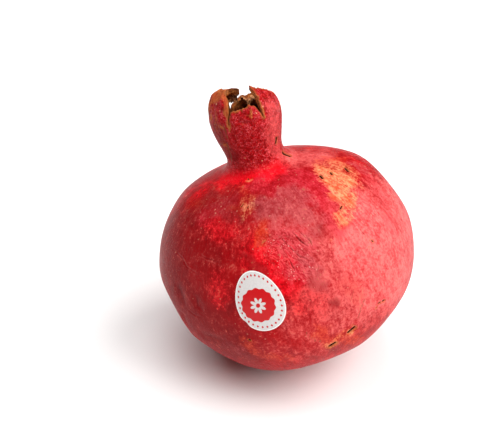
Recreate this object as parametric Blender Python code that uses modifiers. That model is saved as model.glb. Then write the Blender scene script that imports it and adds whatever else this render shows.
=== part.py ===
"""A whole pomegranate, resting on a table as a shop sells it, with a blank paper label on its skin.

The fruit is one grown piece: a leathery rind round the seeds, a neck, a hollow calyx of six dry sepals round the
stamens, and a cut stem end below. It leans to its left on a small flat spot, and its neck bends upright again.
Units are metres and degrees, with +Z up. The origin is the middle of the flat spot. -Y is the label's side.
"""

import math
import random

import bmesh
import bpy
from mathutils import Matrix, Vector

MM = 0.001
MERGE = 0.005 * MM
SHARP_FROM = math.radians(40)

# The rind is an egg shape turned about the fruit's own axis. These are its sizes above and below its widest ring.
RIND_RADIUS, RIND_ABOVE, RIND_BELOW = 52.6, 44.2, 43.2
RIND_ARC_FROM, RIND_ARC_TO, RIND_ARC_STEPS = math.radians(-70.0), math.radians(58.0), 12

# The outline's other stretches, in mm: radius, and height above the widest ring.
STEM_END = ((0.0, -42.6), (2.2, -42.6), (2.8, -42.0), (3.0, -40.4), (5.4, -40.2), (11.0, -41.4))
NECK_OUTLINE = ((21.0, 40.6), (15.3, 43.0), (12.0, 45.9), (11.3, 48.8), (12.0, 53.0), (13.3, 58.0), (13.9, 61.5))
CUP_OUTLINE = ((10.6, 57.5), (9.6, 54.5), (7.0, 52.5), (3.4, 51.9), (0.0, 51.8))
STEPS_PER_SPAN = 2
COLUMNS_PER_SEPAL = 9

# How the fruit lies: its axis leans towards -X and a little back, and the neck bends upright again.
BODY_LEAN = math.radians(17.0)
BODY_LEAN_BACK = math.radians(3.0)
NECK_BEND = math.radians(4.0)
BEND_FROM, BEND_TO = 40.0 * MM, 60.0 * MM
BODY_MIDDLE = Vector((3.8, -0.6, 44.2)) * MM
REST_PLANE = Vector((0.0, 0.0, 0.0))

# Low knuckles round the rind. They and the bulges fade out between these heights, where the neck starts.
KNUCKLES, KNUCKLE_SHARE, KNUCKLE_TURN = 6, 0.008, math.radians(22.0)
OVAL_SHARE, OVAL_TURN = 0.006, math.radians(60.0)
FADE_FROM, FADE_TO = 34.0 * MM, 47.0 * MM

# Broad bulges: turn, rise, height in mm, and breadth.
BULGES = (
    (176.0, 24.0, 3.4, 32.0),
    (176.0, 48.0, 1.6, 20.0),
    (8.0, 54.0, 2.2, 22.0),
    (262.0, 58.0, 1.6, 24.0),
    (0.0, -86.0, 2.0, 20.0),
)

# The sides that lay flat against other fruit: turn, rise, and distance from the body's middle in mm.
FLAT_SIDES = (
    (-21.0, -34.0, 44.8),
    (-56.0, -57.0, 42.6),
    (22.0, 35.0, 50.4),
    (148.0, 12.0, 50.4),
    (196.0, -27.0, 49.8),
    (219.0, -50.0, 47.0),
)
FLAT_SOFTNESS = 0.9 * MM

# Each slit between two sepals: its turn round the calyx, where it starts above the outline's end, and its gape.
SLITS = (
    (246.0, 3.0, 1.2),
    (303.0, 3.6, 2.0),
    (360.0, 4.0, 1.6),
    (420.0, 3.0, 1.8),
    (480.0, 1.0, 3.6),
    (545.0, 3.0, 1.8),
)
# Each sepal, from its slit to the next: its length, the angle of its tip inwards from upright, the share of its bend
# that is in its lower half, where its tip is across it, the share of its length that it loses by its far edge, and
# the roundness of its end.
SEPALS = (
    (10.0, 50.0, 0.50, 0.95, 0.20, 2.0),
    (19.2, 82.0, 0.35, 0.08, 0.64, 0.7),
    (10.5, 80.0, 0.50, 0.30, 0.35, 2.2),
    (8.4, 58.0, 0.50, 0.25, 0.62, 2.2),
    (22.5, 102.0, 0.52, 0.12, 0.50, 1.6),
    (20.8, 112.0, 0.22, 0.50, 0.38, 2.2),
)
CALYX_FLARE = math.radians(-6.0)
CALYX_CURVE = math.radians(2.0) / MM
SEPAL_WALL, SEPAL_TIP_WALL = 2.4 * MM, 1.8 * MM
SLIT_ROWS, SEPAL_ROWS = 2, 8
CROWN_MIDDLE_RADIUS = 4.0 * MM

STAMENS, STAMEN_SEED = 34, 7
STAMEN_FOOT_HEIGHT, STAMEN_FOOT_RADIUS, STAMEN_STAGGER = 57.6 * MM, 10.3 * MM, 1.6 * MM
STAMEN_LENGTH, STAMEN_RADIUS, ANTHER_RADIUS = 5.8 * MM, 0.32 * MM, 0.75 * MM
STYLE_HEIGHT, STYLE_RADIUS = 6.5 * MM, 1.0 * MM

LABEL_WIDTH, LABEL_LENGTH, LABEL_THICKNESS, LABEL_GAP = 18.6 * MM, 23.8 * MM, 0.4 * MM, 0.35 * MM
LABEL_NARROWING = 0.14
LABEL_TURN, LABEL_RISE, LABEL_ROLL = 255.8, 11.4, math.radians(27.0)
LABEL_RINGS, LABEL_SIDES = 4, 32
LABEL_LAID_FROM = 60.0 * MM

RIND_RED = (0.45, 0.02, 0.025, 1.0)
LABEL_WHITE = (0.80, 0.79, 0.76, 1.0)


def clear_scene():
    for thing in list(bpy.data.objects):
        bpy.data.objects.remove(thing, do_unlink=True)


def collection(name):
    made = bpy.data.collections.new(name)
    bpy.context.scene.collection.children.link(made)
    return made


def material(name, colour, roughness):
    made = bpy.data.materials.new(name)
    made.use_nodes = True
    shader = made.node_tree.nodes["Principled BSDF"]
    shader.inputs["Base Color"].default_value = colour
    shader.inputs["Roughness"].default_value = roughness
    shader.inputs["Metallic"].default_value = 0.0
    return made


def smooth_line(points, steps):
    """A Catmull-Rom line through the points but the first and last, with that many steps to each span."""
    line = []
    for a, b, c, d in zip(points, points[1:], points[2:], points[3:]):
        for step in range(steps):
            t = step / steps
            line.append(
                tuple(
                    0.5 * (2 * q + (r - p) * t + (2 * p - 5 * q + 4 * r - s) * t**2 + (3 * q - p - 3 * r + s) * t**3)
                    for p, q, r, s in zip(a, b, c, d)
                )
            )
    return line


def rind_arc():
    """The round stretch of the outline, from near the stem end to the shoulder."""
    points = []
    for step in range(RIND_ARC_STEPS + 1):
        rise = RIND_ARC_FROM + (RIND_ARC_TO - RIND_ARC_FROM) * step / RIND_ARC_STEPS
        half_height = RIND_ABOVE if rise > 0 else RIND_BELOW
        points.append((RIND_RADIUS * math.cos(rise), half_height * math.sin(rise)))
    return points


def outline():
    """The fruit's whole outline in mm, from the stem end up to where the sepals start to part."""
    arc = rind_arc()
    neck = smooth_line([arc[-2], arc[-1], *NECK_OUTLINE, NECK_OUTLINE[-1]], STEPS_PER_SPAN)
    return [*STEM_END, *arc[:-1], *neck]


def bent(point):
    """Bends the neck towards +X: straight below BEND_FROM, an arc up to BEND_TO, straight again above."""
    arc = (BEND_TO - BEND_FROM) / NECK_BEND
    along = min(max(point.z, BEND_FROM), BEND_TO)
    angle = NECK_BEND * (along - BEND_FROM) / (BEND_TO - BEND_FROM)
    beyond = point.z - along
    middle_x = arc * (1 - math.cos(angle)) + beyond * math.sin(angle)
    middle_z = BEND_FROM + arc * math.sin(angle) + beyond * math.cos(angle)
    return Vector((middle_x + point.x * math.cos(angle), point.y, middle_z - point.x * math.sin(angle)))


def lying():
    """The fruit's own frame to the table's frame."""
    lean = Matrix.Rotation(-BODY_LEAN, 4, "Y") @ Matrix.Rotation(-BODY_LEAN_BACK, 4, "X")
    return Matrix.Translation(BODY_MIDDLE) @ lean


def direction(turn, rise):
    turn, rise = math.radians(turn), math.radians(rise)
    return Vector((math.cos(rise) * math.cos(turn), math.cos(rise) * math.sin(turn), math.sin(rise)))


def pressed(point):
    """Presses a point inwards where it stands proud of a flat side."""
    for turn, rise, distance in FLAT_SIDES:
        outwards = direction(turn, rise)
        proud = (point - BODY_MIDDLE).dot(outwards) - distance * MM
        softened = max(proud, 0.0) + FLAT_SOFTNESS * math.log1p(math.exp(-abs(proud) / FLAT_SOFTNESS))
        point = point - outwards * softened
    return point


def swollen(point, share):
    """Raises a point by that share of the bulges that it is on."""
    outwards = (point - BODY_MIDDLE).normalized()
    for turn, rise, height, breadth in BULGES:
        away = outwards.angle(direction(turn, rise)) / math.radians(breadth)
        point = point + outwards * share * height * MM * math.exp(-(away**2))
    return point


def rind_share(height):
    """1 on the rind, falling smoothly to 0 up the neck."""
    fade = min(max((FADE_TO - height) / (FADE_TO - FADE_FROM), 0.0), 1.0)
    return fade * fade * (3 - 2 * fade)


def fruit_point(turn, radius, height):
    """A point given round the fruit's own axis, where it lies on the table."""
    share = rind_share(height)
    knuckle = KNUCKLE_SHARE * math.cos(KNUCKLES * (turn - KNUCKLE_TURN))
    oval = OVAL_SHARE * math.cos(2 * (turn - OVAL_TURN))
    radius *= 1 + share * (knuckle + oval)
    point = lying() @ bent(Vector((radius * math.cos(turn), radius * math.sin(turn), height)))
    return pressed(swollen(point, share))


def next_slit(sepal):
    """The turn and the start of a sepal's second slit, counted on from its first."""
    turn, start, gape = SLITS[(sepal + 1) % len(SLITS)]
    full_circle = 360.0 if sepal == len(SLITS) - 1 else 0.0
    return turn + full_circle, start, gape


def sepal_turn(sepal, across):
    """The turn of a line up the fruit, 0 to 1 of the way across a sepal."""
    return math.radians(SLITS[sepal][0] * (1 - across) + next_slit(sepal)[0] * across)


def sepal_root(sepal, across):
    """How far above the outline's end a sepal's slits start, from one slit to the next."""
    return (SLITS[sepal][1] * (1 - across) + next_slit(sepal)[1] * across) * MM


def sepal_end(sepal, across):
    """A sepal's length at a place across it: longest at its tip."""
    reach, _, _, tip_at, edge_loss, roundness = SEPALS[sepal]
    root = sepal_root(sepal, across)
    side = abs(across - tip_at) / max(tip_at, 1 - tip_at)
    return root + (reach * MM - root) * (1 - edge_loss * side**roundness)


def sepal_lengths(sepal, across):
    """The rows up a sepal: evenly to where its slits start, then evenly to its end."""
    root, end = sepal_root(sepal, across), sepal_end(sepal, across)
    rows = [root * row / SLIT_ROWS for row in range(SLIT_ROWS)]
    return rows + [root + (end - root) * row / SEPAL_ROWS for row in range(SEPAL_ROWS + 1)]


def sepal_wall(sepal, length):
    reach = SEPALS[sepal][0] * MM
    return SEPAL_WALL + (SEPAL_TIP_WALL - SEPAL_WALL) * min(1.0, length / reach)


def arc_from(radius, height, angle, curve, length):
    """The end of an arc that starts at that angle inwards from upright and turns inwards at that rate."""
    turned = angle + curve * length
    inwards = (math.cos(angle) - math.cos(turned)) / curve
    upwards = (math.sin(turned) - math.sin(angle)) / curve
    return radius - inwards, height + upwards, turned


def sepal_point(sepal, across, length, depth):
    """A point on a sepal: 0 to 1 across it, that far up it from the outline's end, and that deep in its wall."""
    reach, tip_angle, early_bend = SEPALS[sepal][:3]
    root = sepal_root(sepal, across)
    free, half = max(0.0, length - root), 0.5 * (reach * MM - root)
    radius, height = (value * MM for value in NECK_OUTLINE[-1])
    radius, height, angle = arc_from(radius, height, CALYX_FLARE, CALYX_CURVE, min(length, root))
    bend = math.radians(tip_angle) - angle
    for share, stretch in ((early_bend, min(free, half)), (1 - early_bend, max(free - half, 0.0))):
        radius, height, angle = arc_from(radius, height, angle, share * bend / half, stretch)
    free_share = 0.5 * free / half
    half_gape = 0.5 * free_share * MM / max(radius, CROWN_MIDDLE_RADIUS)
    turn = sepal_turn(sepal, across)
    turn += half_gape * (SLITS[sepal][2] * (1 - across) - next_slit(sepal)[2] * across)
    return fruit_point(turn, radius - depth * math.cos(angle), height - depth * math.sin(angle))


def outer_rows(sepal, across):
    """The outside of the fruit up one line, from the stem end to the sepal's end."""
    turn = sepal_turn(sepal, across)
    rind = [fruit_point(turn, radius * MM, height * MM) for radius, height in outline()]
    return rind + [sepal_point(sepal, across, length, 0.0) for length in sepal_lengths(sepal, across)]


def inner_rows(sepal, across):
    """The inside of the calyx down one line, from the sepal's end to the middle of the cup's floor."""
    turn = sepal_turn(sepal, across)
    lengths = reversed(sepal_lengths(sepal, across))
    wall = [sepal_point(sepal, across, length, sepal_wall(sepal, length)) for length in lengths]
    return wall + [fruit_point(turn, radius * MM, height * MM) for radius, height in CUP_OUTLINE]


def rolled_sheet(mesh, rows_at):
    """Rolls up a grid along the lines that rows_at gives, a strip of columns to a sepal, slit between the sepals."""
    columns = len(SEPALS) * (COLUMNS_PER_SEPAL + 1)
    rows = len(rows_at(0, 0.0))
    grid = bmesh.ops.create_grid(mesh, x_segments=columns - 1, y_segments=rows - 1, size=1.0)["verts"]
    grid.sort(key=lambda vertex: (round(vertex.co.x, 5), round(vertex.co.y, 5)))
    strip = {}
    for column in range(columns):
        sepal, place = divmod(column, COLUMNS_PER_SEPAL + 1)
        line = rows_at(sepal, place / COLUMNS_PER_SEPAL)
        for vertex, point in zip(grid[column * rows : (column + 1) * rows], line):
            vertex.co = point
            strip[vertex] = sepal
    between = [face for face in {f for v in grid for f in v.link_faces} if len({strip[v] for v in face.verts}) > 1]
    bmesh.ops.delete(mesh, geom=between, context="FACES_ONLY")
    bmesh.ops.remove_doubles(mesh, verts=grid, dist=MERGE)


def make_fruit(parts):
    """The rind's outside and the calyx's inside, bridged round the sepals' edges and cut flat where it rests."""
    mesh = bmesh.new()
    rolled_sheet(mesh, outer_rows)
    rolled_sheet(mesh, inner_rows)
    bmesh.ops.bridge_loops(mesh, edges=[edge for edge in mesh.edges if edge.is_boundary])
    everything = [*mesh.verts, *mesh.edges, *mesh.faces]
    bmesh.ops.bisect_plane(mesh, geom=everything, plane_co=REST_PLANE, plane_no=(0, 0, 1), clear_inner=True)
    bmesh.ops.holes_fill(mesh, edges=[edge for edge in mesh.edges if edge.is_boundary])
    bmesh.ops.recalc_face_normals(mesh, faces=mesh.faces)
    data = bpy.data.meshes.new("pomegranate")
    mesh.to_mesh(data)
    mesh.free()
    fruit = bpy.data.objects.new("pomegranate", data)
    parts.objects.link(fruit)
    data.materials.append(material("rind", RIND_RED, 0.38))
    return fruit


def make_thread(name, points, radii, collected):
    """A closed tapering thread through the points, as a mesh."""
    curve = bpy.data.curves.new(name, "CURVE")
    curve.dimensions = "3D"
    curve.bevel_depth = 1.0
    curve.bevel_resolution = 0
    curve.use_fill_caps = True
    spline = curve.splines.new("POLY")
    spline.points.add(len(points) - 1)
    for place, point, radius in zip(spline.points, points, radii):
        place.co = (*point, 1.0)
        place.radius = radius
    guide = bpy.data.objects.new(name + "_guide", curve)
    bpy.context.scene.collection.objects.link(guide)
    bpy.context.view_layer.update()
    data = bpy.data.meshes.new_from_object(guide.evaluated_get(bpy.context.evaluated_depsgraph_get()))
    bpy.data.objects.remove(guide)
    mesh = bmesh.new()
    mesh.from_mesh(data)
    bmesh.ops.remove_doubles(mesh, verts=mesh.verts, dist=MERGE)
    bmesh.ops.recalc_face_normals(mesh, faces=mesh.faces)
    mesh.to_mesh(data)
    mesh.free()
    collected.objects.link(bpy.data.objects.new(name, data))


def make_stamens(collected):
    """Dry stamens round the inside of the cup, leaning to its middle, and the stubby style on its floor."""
    draw = random.Random(STAMEN_SEED)
    for number in range(STAMENS):
        turn = 2 * math.pi * (number + draw.uniform(-0.3, 0.3)) / STAMENS
        length = STAMEN_LENGTH * draw.uniform(0.75, 1.15)
        foot = STAMEN_FOOT_HEIGHT + (number % 2) * STAMEN_STAGGER
        sway = draw.uniform(-0.25, 0.25)
        # Shares of the length inwards and upwards, shares of the sway, and the thickness.
        line = (
            (-0.14, -0.12, 0.0, STAMEN_RADIUS * 1.3),
            (0.18, 0.12, 0.2, STAMEN_RADIUS * 1.2),
            (0.42, 0.42, 0.6, STAMEN_RADIUS),
            (0.62, 0.72, 1.0, ANTHER_RADIUS),
            (0.78, 0.86, 1.2, ANTHER_RADIUS),
            (0.92, 0.92, 1.3, STAMEN_RADIUS),
        )
        points = [
            fruit_point(turn + sway * aside, STAMEN_FOOT_RADIUS - length * inwards, foot + length * upwards)
            for inwards, upwards, aside, _ in line
        ]
        make_thread(f"stamen_{number + 1:02d}", points, [thickness for *_, thickness in line], collected)
    floor = CUP_OUTLINE[-1][1] * MM
    style = [fruit_point(0.0, 0.3 * MM, floor + share * STYLE_HEIGHT) for share in (-0.15, 0.2, 0.8, 1.0)]
    make_thread("style", style, (STYLE_RADIUS * 1.3, STYLE_RADIUS, STYLE_RADIUS, STYLE_RADIUS * 1.4), collected)


def fuse(whole, collected):
    """Joins the collected repeats to the piece that they grow from, then removes them."""
    union = whole.modifiers.new("grown_together", "BOOLEAN")
    union.operation = "UNION"
    union.operand_type = "COLLECTION"
    union.collection = collected
    union.solver = "EXACT"
    bpy.context.view_layer.update()
    data = bpy.data.meshes.new_from_object(whole.evaluated_get(bpy.context.evaluated_depsgraph_get()))
    whole.modifiers.clear()
    whole.data = data
    for repeat in list(collected.objects):
        bpy.data.objects.remove(repeat)
    bpy.data.collections.remove(collected)


def label_frame():
    """Where the label sits: outside the rind and facing outwards, with its long way up the fruit."""
    outwards = direction(LABEL_TURN, LABEL_RISE)
    facing = outwards.to_track_quat("Z", "Y").to_matrix().to_4x4()
    place = Matrix.Translation(BODY_MIDDLE + outwards * LABEL_LAID_FROM)
    return place @ facing @ Matrix.Rotation(LABEL_ROLL, 4, "Z")


def make_label(parts, fruit):
    """An egg-shaped paper label, laid on the rind and following it."""
    mesh = bmesh.new()
    bmesh.ops.create_circle(mesh, cap_ends=True, cap_tris=True, segments=LABEL_SIDES, radius=1.0)
    spokes = [edge for edge in mesh.edges if not edge.is_boundary]
    bmesh.ops.subdivide_edges(mesh, edges=spokes, cuts=LABEL_RINGS - 1, use_grid_fill=True)
    for vertex in mesh.verts:
        narrow = 1 - LABEL_NARROWING * vertex.co.y
        vertex.co.x *= 0.5 * LABEL_WIDTH * narrow
        vertex.co.y *= 0.5 * LABEL_LENGTH
    data = bpy.data.meshes.new("label")
    mesh.to_mesh(data)
    mesh.free()
    label = bpy.data.objects.new("label", data)
    parts.objects.link(label)
    label.matrix_world = label_frame()
    wrap = label.modifiers.new("follow_rind", "SHRINKWRAP")
    wrap.target = fruit
    wrap.wrap_method = "PROJECT"
    wrap.use_project_z = True
    wrap.use_negative_direction = True
    wrap.use_positive_direction = False
    wrap.offset = LABEL_GAP
    paper = label.modifiers.new("paper", "SOLIDIFY")
    paper.thickness = LABEL_THICKNESS
    paper.offset = 1.0
    data.materials.append(material("label_paper", LABEL_WHITE, 0.45))


def main():
    clear_scene()
    parts = collection("pomegranate")
    stamens = collection("stamens")
    fruit = make_fruit(parts)
    make_stamens(stamens)
    fuse(fruit, stamens)
    make_label(parts, fruit)
    for part in parts.objects:
        part.data.shade_smooth()
        part.data.set_sharp_from_angle(angle=SHARP_FROM)


main()
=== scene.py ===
"""The looks of a whole pomegranate on a pale table: its leathery skin, its dry calyx and its paper label.

Units are metres, and degrees or mm where a name or a comment says so. -Y is the label's side and +Z is up.
The skin and the label repeat the sizes of the solids that they cover.
"""

import math
import random

import bpy
import numpy as np
from mathutils import Matrix, Vector, kdtree, noise
from mathutils.bvhtree import BVHTree


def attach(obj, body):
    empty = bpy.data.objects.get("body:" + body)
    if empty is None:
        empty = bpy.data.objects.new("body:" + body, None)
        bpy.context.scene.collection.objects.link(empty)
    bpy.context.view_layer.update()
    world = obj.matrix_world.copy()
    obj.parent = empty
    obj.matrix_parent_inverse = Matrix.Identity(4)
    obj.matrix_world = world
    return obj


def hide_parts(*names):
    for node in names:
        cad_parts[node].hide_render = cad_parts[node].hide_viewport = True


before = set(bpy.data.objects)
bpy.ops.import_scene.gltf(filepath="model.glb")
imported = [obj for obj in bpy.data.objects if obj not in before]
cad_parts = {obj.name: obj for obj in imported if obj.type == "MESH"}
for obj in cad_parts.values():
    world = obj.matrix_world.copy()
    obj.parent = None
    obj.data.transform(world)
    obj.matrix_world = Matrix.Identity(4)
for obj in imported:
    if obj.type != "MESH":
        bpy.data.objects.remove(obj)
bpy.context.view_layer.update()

MM = 0.001
MERGE = 0.005 * MM

# The camera looks down on the fruit. A pixel is given as (across, down) in the picture's 500 x 432 frame.
CAMERA_PLACE = Vector((-12.05, -309.55, 227.32)) * MM
CAMERA_TILT = math.radians(62.0)
CAMERA_LENS, CAMERA_SENSOR = 62.0, 36.0
PICTURE_WIDTH, PICTURE_HEIGHT = 500, 432

# The fruit's own sizes, as its solid has them.
RIND_RADIUS, RIND_ABOVE, RIND_BELOW = 52.6, 44.2, 43.2
RIND_ARC_FROM, RIND_ARC_TO, RIND_ARC_STEPS = math.radians(-70.0), math.radians(58.0), 12
STEM_END = ((0.0, -42.6), (2.2, -42.6), (2.8, -42.0), (3.0, -40.4), (5.4, -40.2), (11.0, -41.4))
NECK_OUTLINE = (
    (21.0, 40.6),
    (15.3, 43.0),
    (12.0, 45.9),
    (11.3, 48.8),
    (12.0, 53.0),
    (13.3, 58.0),
    (13.9, 61.5),
)
CUP_OUTLINE = ((10.6, 57.5), (9.6, 54.5), (7.0, 52.5), (3.4, 51.9), (0.0, 51.8))
BODY_LEAN = math.radians(17.0)
BODY_LEAN_BACK = math.radians(3.0)
NECK_BEND = math.radians(4.0)
BEND_FROM, BEND_TO = 40.0 * MM, 60.0 * MM
BODY_MIDDLE = Vector((3.8, -0.6, 44.2)) * MM
KNUCKLES, KNUCKLE_SHARE, KNUCKLE_TURN = 6, 0.008, math.radians(22.0)
OVAL_SHARE, OVAL_TURN = 0.006, math.radians(60.0)
FADE_FROM, FADE_TO = 34.0 * MM, 47.0 * MM
# Bulges of the rind: turn, rise, height in mm and breadth in degrees.
BULGES = (
    (176.0, 24.0, 3.4, 32.0),
    (176.0, 48.0, 1.6, 20.0),
    (8.0, 54.0, 2.2, 22.0),
    (262.0, 58.0, 1.6, 24.0),
    (0.0, -86.0, 2.0, 20.0),
)
# Sides that are pressed flat: turn, rise and distance from the body's middle in mm.
FLAT_SIDES = (
    (-21.0, -34.0, 44.8),
    (-56.0, -57.0, 42.6),
    (22.0, 35.0, 50.4),
    (148.0, 12.0, 50.4),
    (196.0, -27.0, 49.8),
    (219.0, -50.0, 47.0),
)
FLAT_SOFTNESS = 0.9 * MM
# Slits between the sepals: turn in degrees, then in mm how far above the outline's end each one starts, and
# its gape.
SLITS = np.array(
    (
        (246.0, 3.0, 1.2),
        (303.0, 3.6, 2.0),
        (360.0, 4.0, 1.6),
        (420.0, 3.0, 1.8),
        (480.0, 1.0, 3.6),
        (545.0, 3.0, 1.8),
        (606.0, 3.0, 1.2),
    )
)
# Sepals: reach in mm, lean at the tip in degrees, the share of the bend in the lower half, where across it
# the tip is, the share of the length lost at the sides, and how rounded the tip is.
SEPALS = np.array(
    (
        (10.0, 50.0, 0.50, 0.95, 0.20, 2.0),
        (19.2, 82.0, 0.35, 0.08, 0.64, 0.7),
        (10.5, 80.0, 0.50, 0.30, 0.35, 2.2),
        (8.4, 58.0, 0.50, 0.25, 0.62, 2.2),
        (22.5, 102.0, 0.52, 0.12, 0.50, 1.6),
        (20.8, 112.0, 0.22, 0.50, 0.38, 2.2),
    )
)
CALYX_FLARE = math.radians(-6.0)
CALYX_CURVE = math.radians(2.0) / MM
SEPAL_WALL, SEPAL_TIP_WALL = 2.4 * MM, 1.8 * MM
CROWN_MIDDLE_RADIUS = 4.0 * MM

# How finely the skin is cut. It is rolled up from a sepal at the back, and the sepals in front have more
# columns.
ROLLED_FROM = 3
STRIP_COLUMNS = (40, 44, 74, 76, 76, 46)
STEM_ROW, RIND_ROW, NECK_ROW, CUP_ROW = 0.7, 1.05, 0.55, 0.7
SLIT_ROWS, SEPAL_ROWS = 5, 30
OUTLINE_STEPS = 12
# Its faces are cut in four this near the creases and splits, one reach after the other, but not within this
# many columns of a slit.
FINER_REACHES = (1.3 * MM, 0.8 * MM)
SLIT_MARGIN = 0.9
# How far from a torn edge a point on no sepal counts as, in mm.
FAR_FROM_EDGE = 20.0
# In the flat sheet, one unit up it for the stretch to the slits and one for the sepals' free length.
SEPAL_UNIT = 20.0

# The label's sizes, as its solid has them.
LABEL_WIDTH, LABEL_LENGTH, LABEL_NARROWING = 18.6 * MM, 23.8 * MM, 0.14
LABEL_TURN, LABEL_RISE, LABEL_ROLL = 255.8, 11.4, math.radians(27.0)
LABEL_LAID_FROM = 60.0 * MM
PAPER_THICKNESS, PAPER_GAP = 0.12 * MM, 0.16 * MM
LABEL_SIDES, LABEL_RINGS = 96, 11
# The fold in the label's edge: its place from the label's middle, its reach and how far it stands up.
FOLD_PLACE, FOLD_REACH, FOLD_RISE = np.array((-8.4, -6.2)) * MM, 1.1 * MM, 0.28 * MM
# The print, in mm: a scalloped disc with a flower, and a ring of dots at a share of the way out to the edge.
DISC_PLACE, DISC_RADIUS, SCALLOPS, SCALLOP_DEPTH = (-0.7, -1.1), 6.25, 14.0, 0.22
FLOWER_PETALS, FLOWER_RADIUS, FLOWER_PETAL_LENGTH, FLOWER_MIDDLE = 8, 1.25, 1.7, 0.75
RIM_DOTS, RIM_DOTS_SHARE, RIM_DOTS_RADIUS = 30, 0.83, 10.3
PRINT_EDGE = 0.15

# A crease narrower than SHARP_CREASE, in mm, has lips with a painted highlight. The skin keeps the flat
# spot's shape below RIM_OF_REST. The patches' edges wander by about PATCH_WANDER.
SHARP_CREASE = 0.4
RIM_OF_REST = 0.4 * MM
PATCH_WANDER = 2.8 * MM
# The skin's fine wrinkles run down this far from upright, and its sheen is pinkish.
SLANT = math.radians(40.0)
SHEEN_TINT = (1.0, 0.36, 0.38, 1.0)

# Creases in the skin: depth and half width in mm, then the pixels that each one runs through.
CREASES = (
    (0.46, 0.30, ((291, 231), (296, 236.5), (301, 241.5), (305.5, 245), (308, 247))),
    (0.34, 0.28, ((306, 237.5), (310, 241), (311.2, 244), (309.4, 247))),
    (0.42, 0.30, ((288, 245.7), (294.7, 252.8), (300, 257), (307, 259))),
    (0.30, 0.27, ((285, 256.4), (289.6, 260.5), (292, 266), (294.7, 270.7))),
    (0.18, 0.24, ((279, 236), (284, 241.5), (288, 246.5))),
    (0.18, 0.24, ((296, 229), (303, 235), (308, 240.5))),
    (
        0.26,
        0.34,
        ((171.8, 248), (178, 253.3), (182.5, 258), (185.2, 263.3))
        + ((187.2, 267.2), (192.4, 271), (197, 273.6)),
    ),
    (0.12, 0.32, ((199.3, 254.5), (205.4, 258), (211.6, 259.8), (217.7, 262.5), (224, 266.7))),
    (0.20, 0.40, ((187, 307.6), (191.7, 312.2), (196.3, 315.7), (202.4, 316.8))),
    (0.42, 2.40, ((175.6, 283), (180.2, 290), (183.2, 298.5), (186.3, 306))),
    (0.40, 1.80, ((196.3, 295.4), (197.8, 303.8), (204, 310))),
    (0.36, 2.00, ((197.8, 329.8), (204, 334.4), (211.6, 336.7), (219.2, 339), (227, 339.8))),
    (0.44, 1.80, ((182.5, 311.5), (185.5, 319), (190, 327))),
    (0.16, 0.26, ((356, 225.4), (363, 233), (371.5, 242.6))),
    (0.70, 0.90, ((235.5, 120), (241, 122.5), (247, 123.5), (252, 123))),
)
# Small splits in the skin: depth and half width in mm, then the pixels of the two ends.
SPLITS = (
    (0.9, 0.43, (320.2, 176), (322.4, 178.6)),
    (0.9, 0.45, (330.4, 173), (331.8, 175)),
    (1.0, 0.52, (345, 168.6), (347.8, 171.6)),
    (0.7, 0.33, (341.6, 206.6), (340.2, 209)),
    (0.4, 0.22, (262.6, 243.0), (265.8, 240.6)),
    (0.3, 0.18, (263.0, 240.6), (263.8, 242.6)),
    (1.3, 0.70, (348.6, 332), (354, 327.6)),
    (1.2, 0.75, (329.8, 345.4), (334.4, 342.6)),
    (0.9, 0.43, (381.6, 300.9), (383.4, 300)),
    (0.8, 0.35, (377.6, 303.2), (379.2, 302)),
    (0.7, 0.30, (375, 308), (375.8, 306.4)),
    (1.1, 0.66, (283.4, 153), (289, 155.8)),
    (0.6, 0.38, (276.8, 137.5), (276, 143)),
    (0.6, 0.33, (249.2, 339.6), (250.4, 340)),
    (0.6, 0.28, (371.6, 240.6), (372.8, 241.8)),
    (0.2, 0.16, (248, 178.8), (248.8, 179.4)),
    (0.3, 0.16, (241.2, 207), (243.6, 204)),
    (0.3, 0.18, (248.2, 206.6), (247.2, 208.2)),
)
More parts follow.
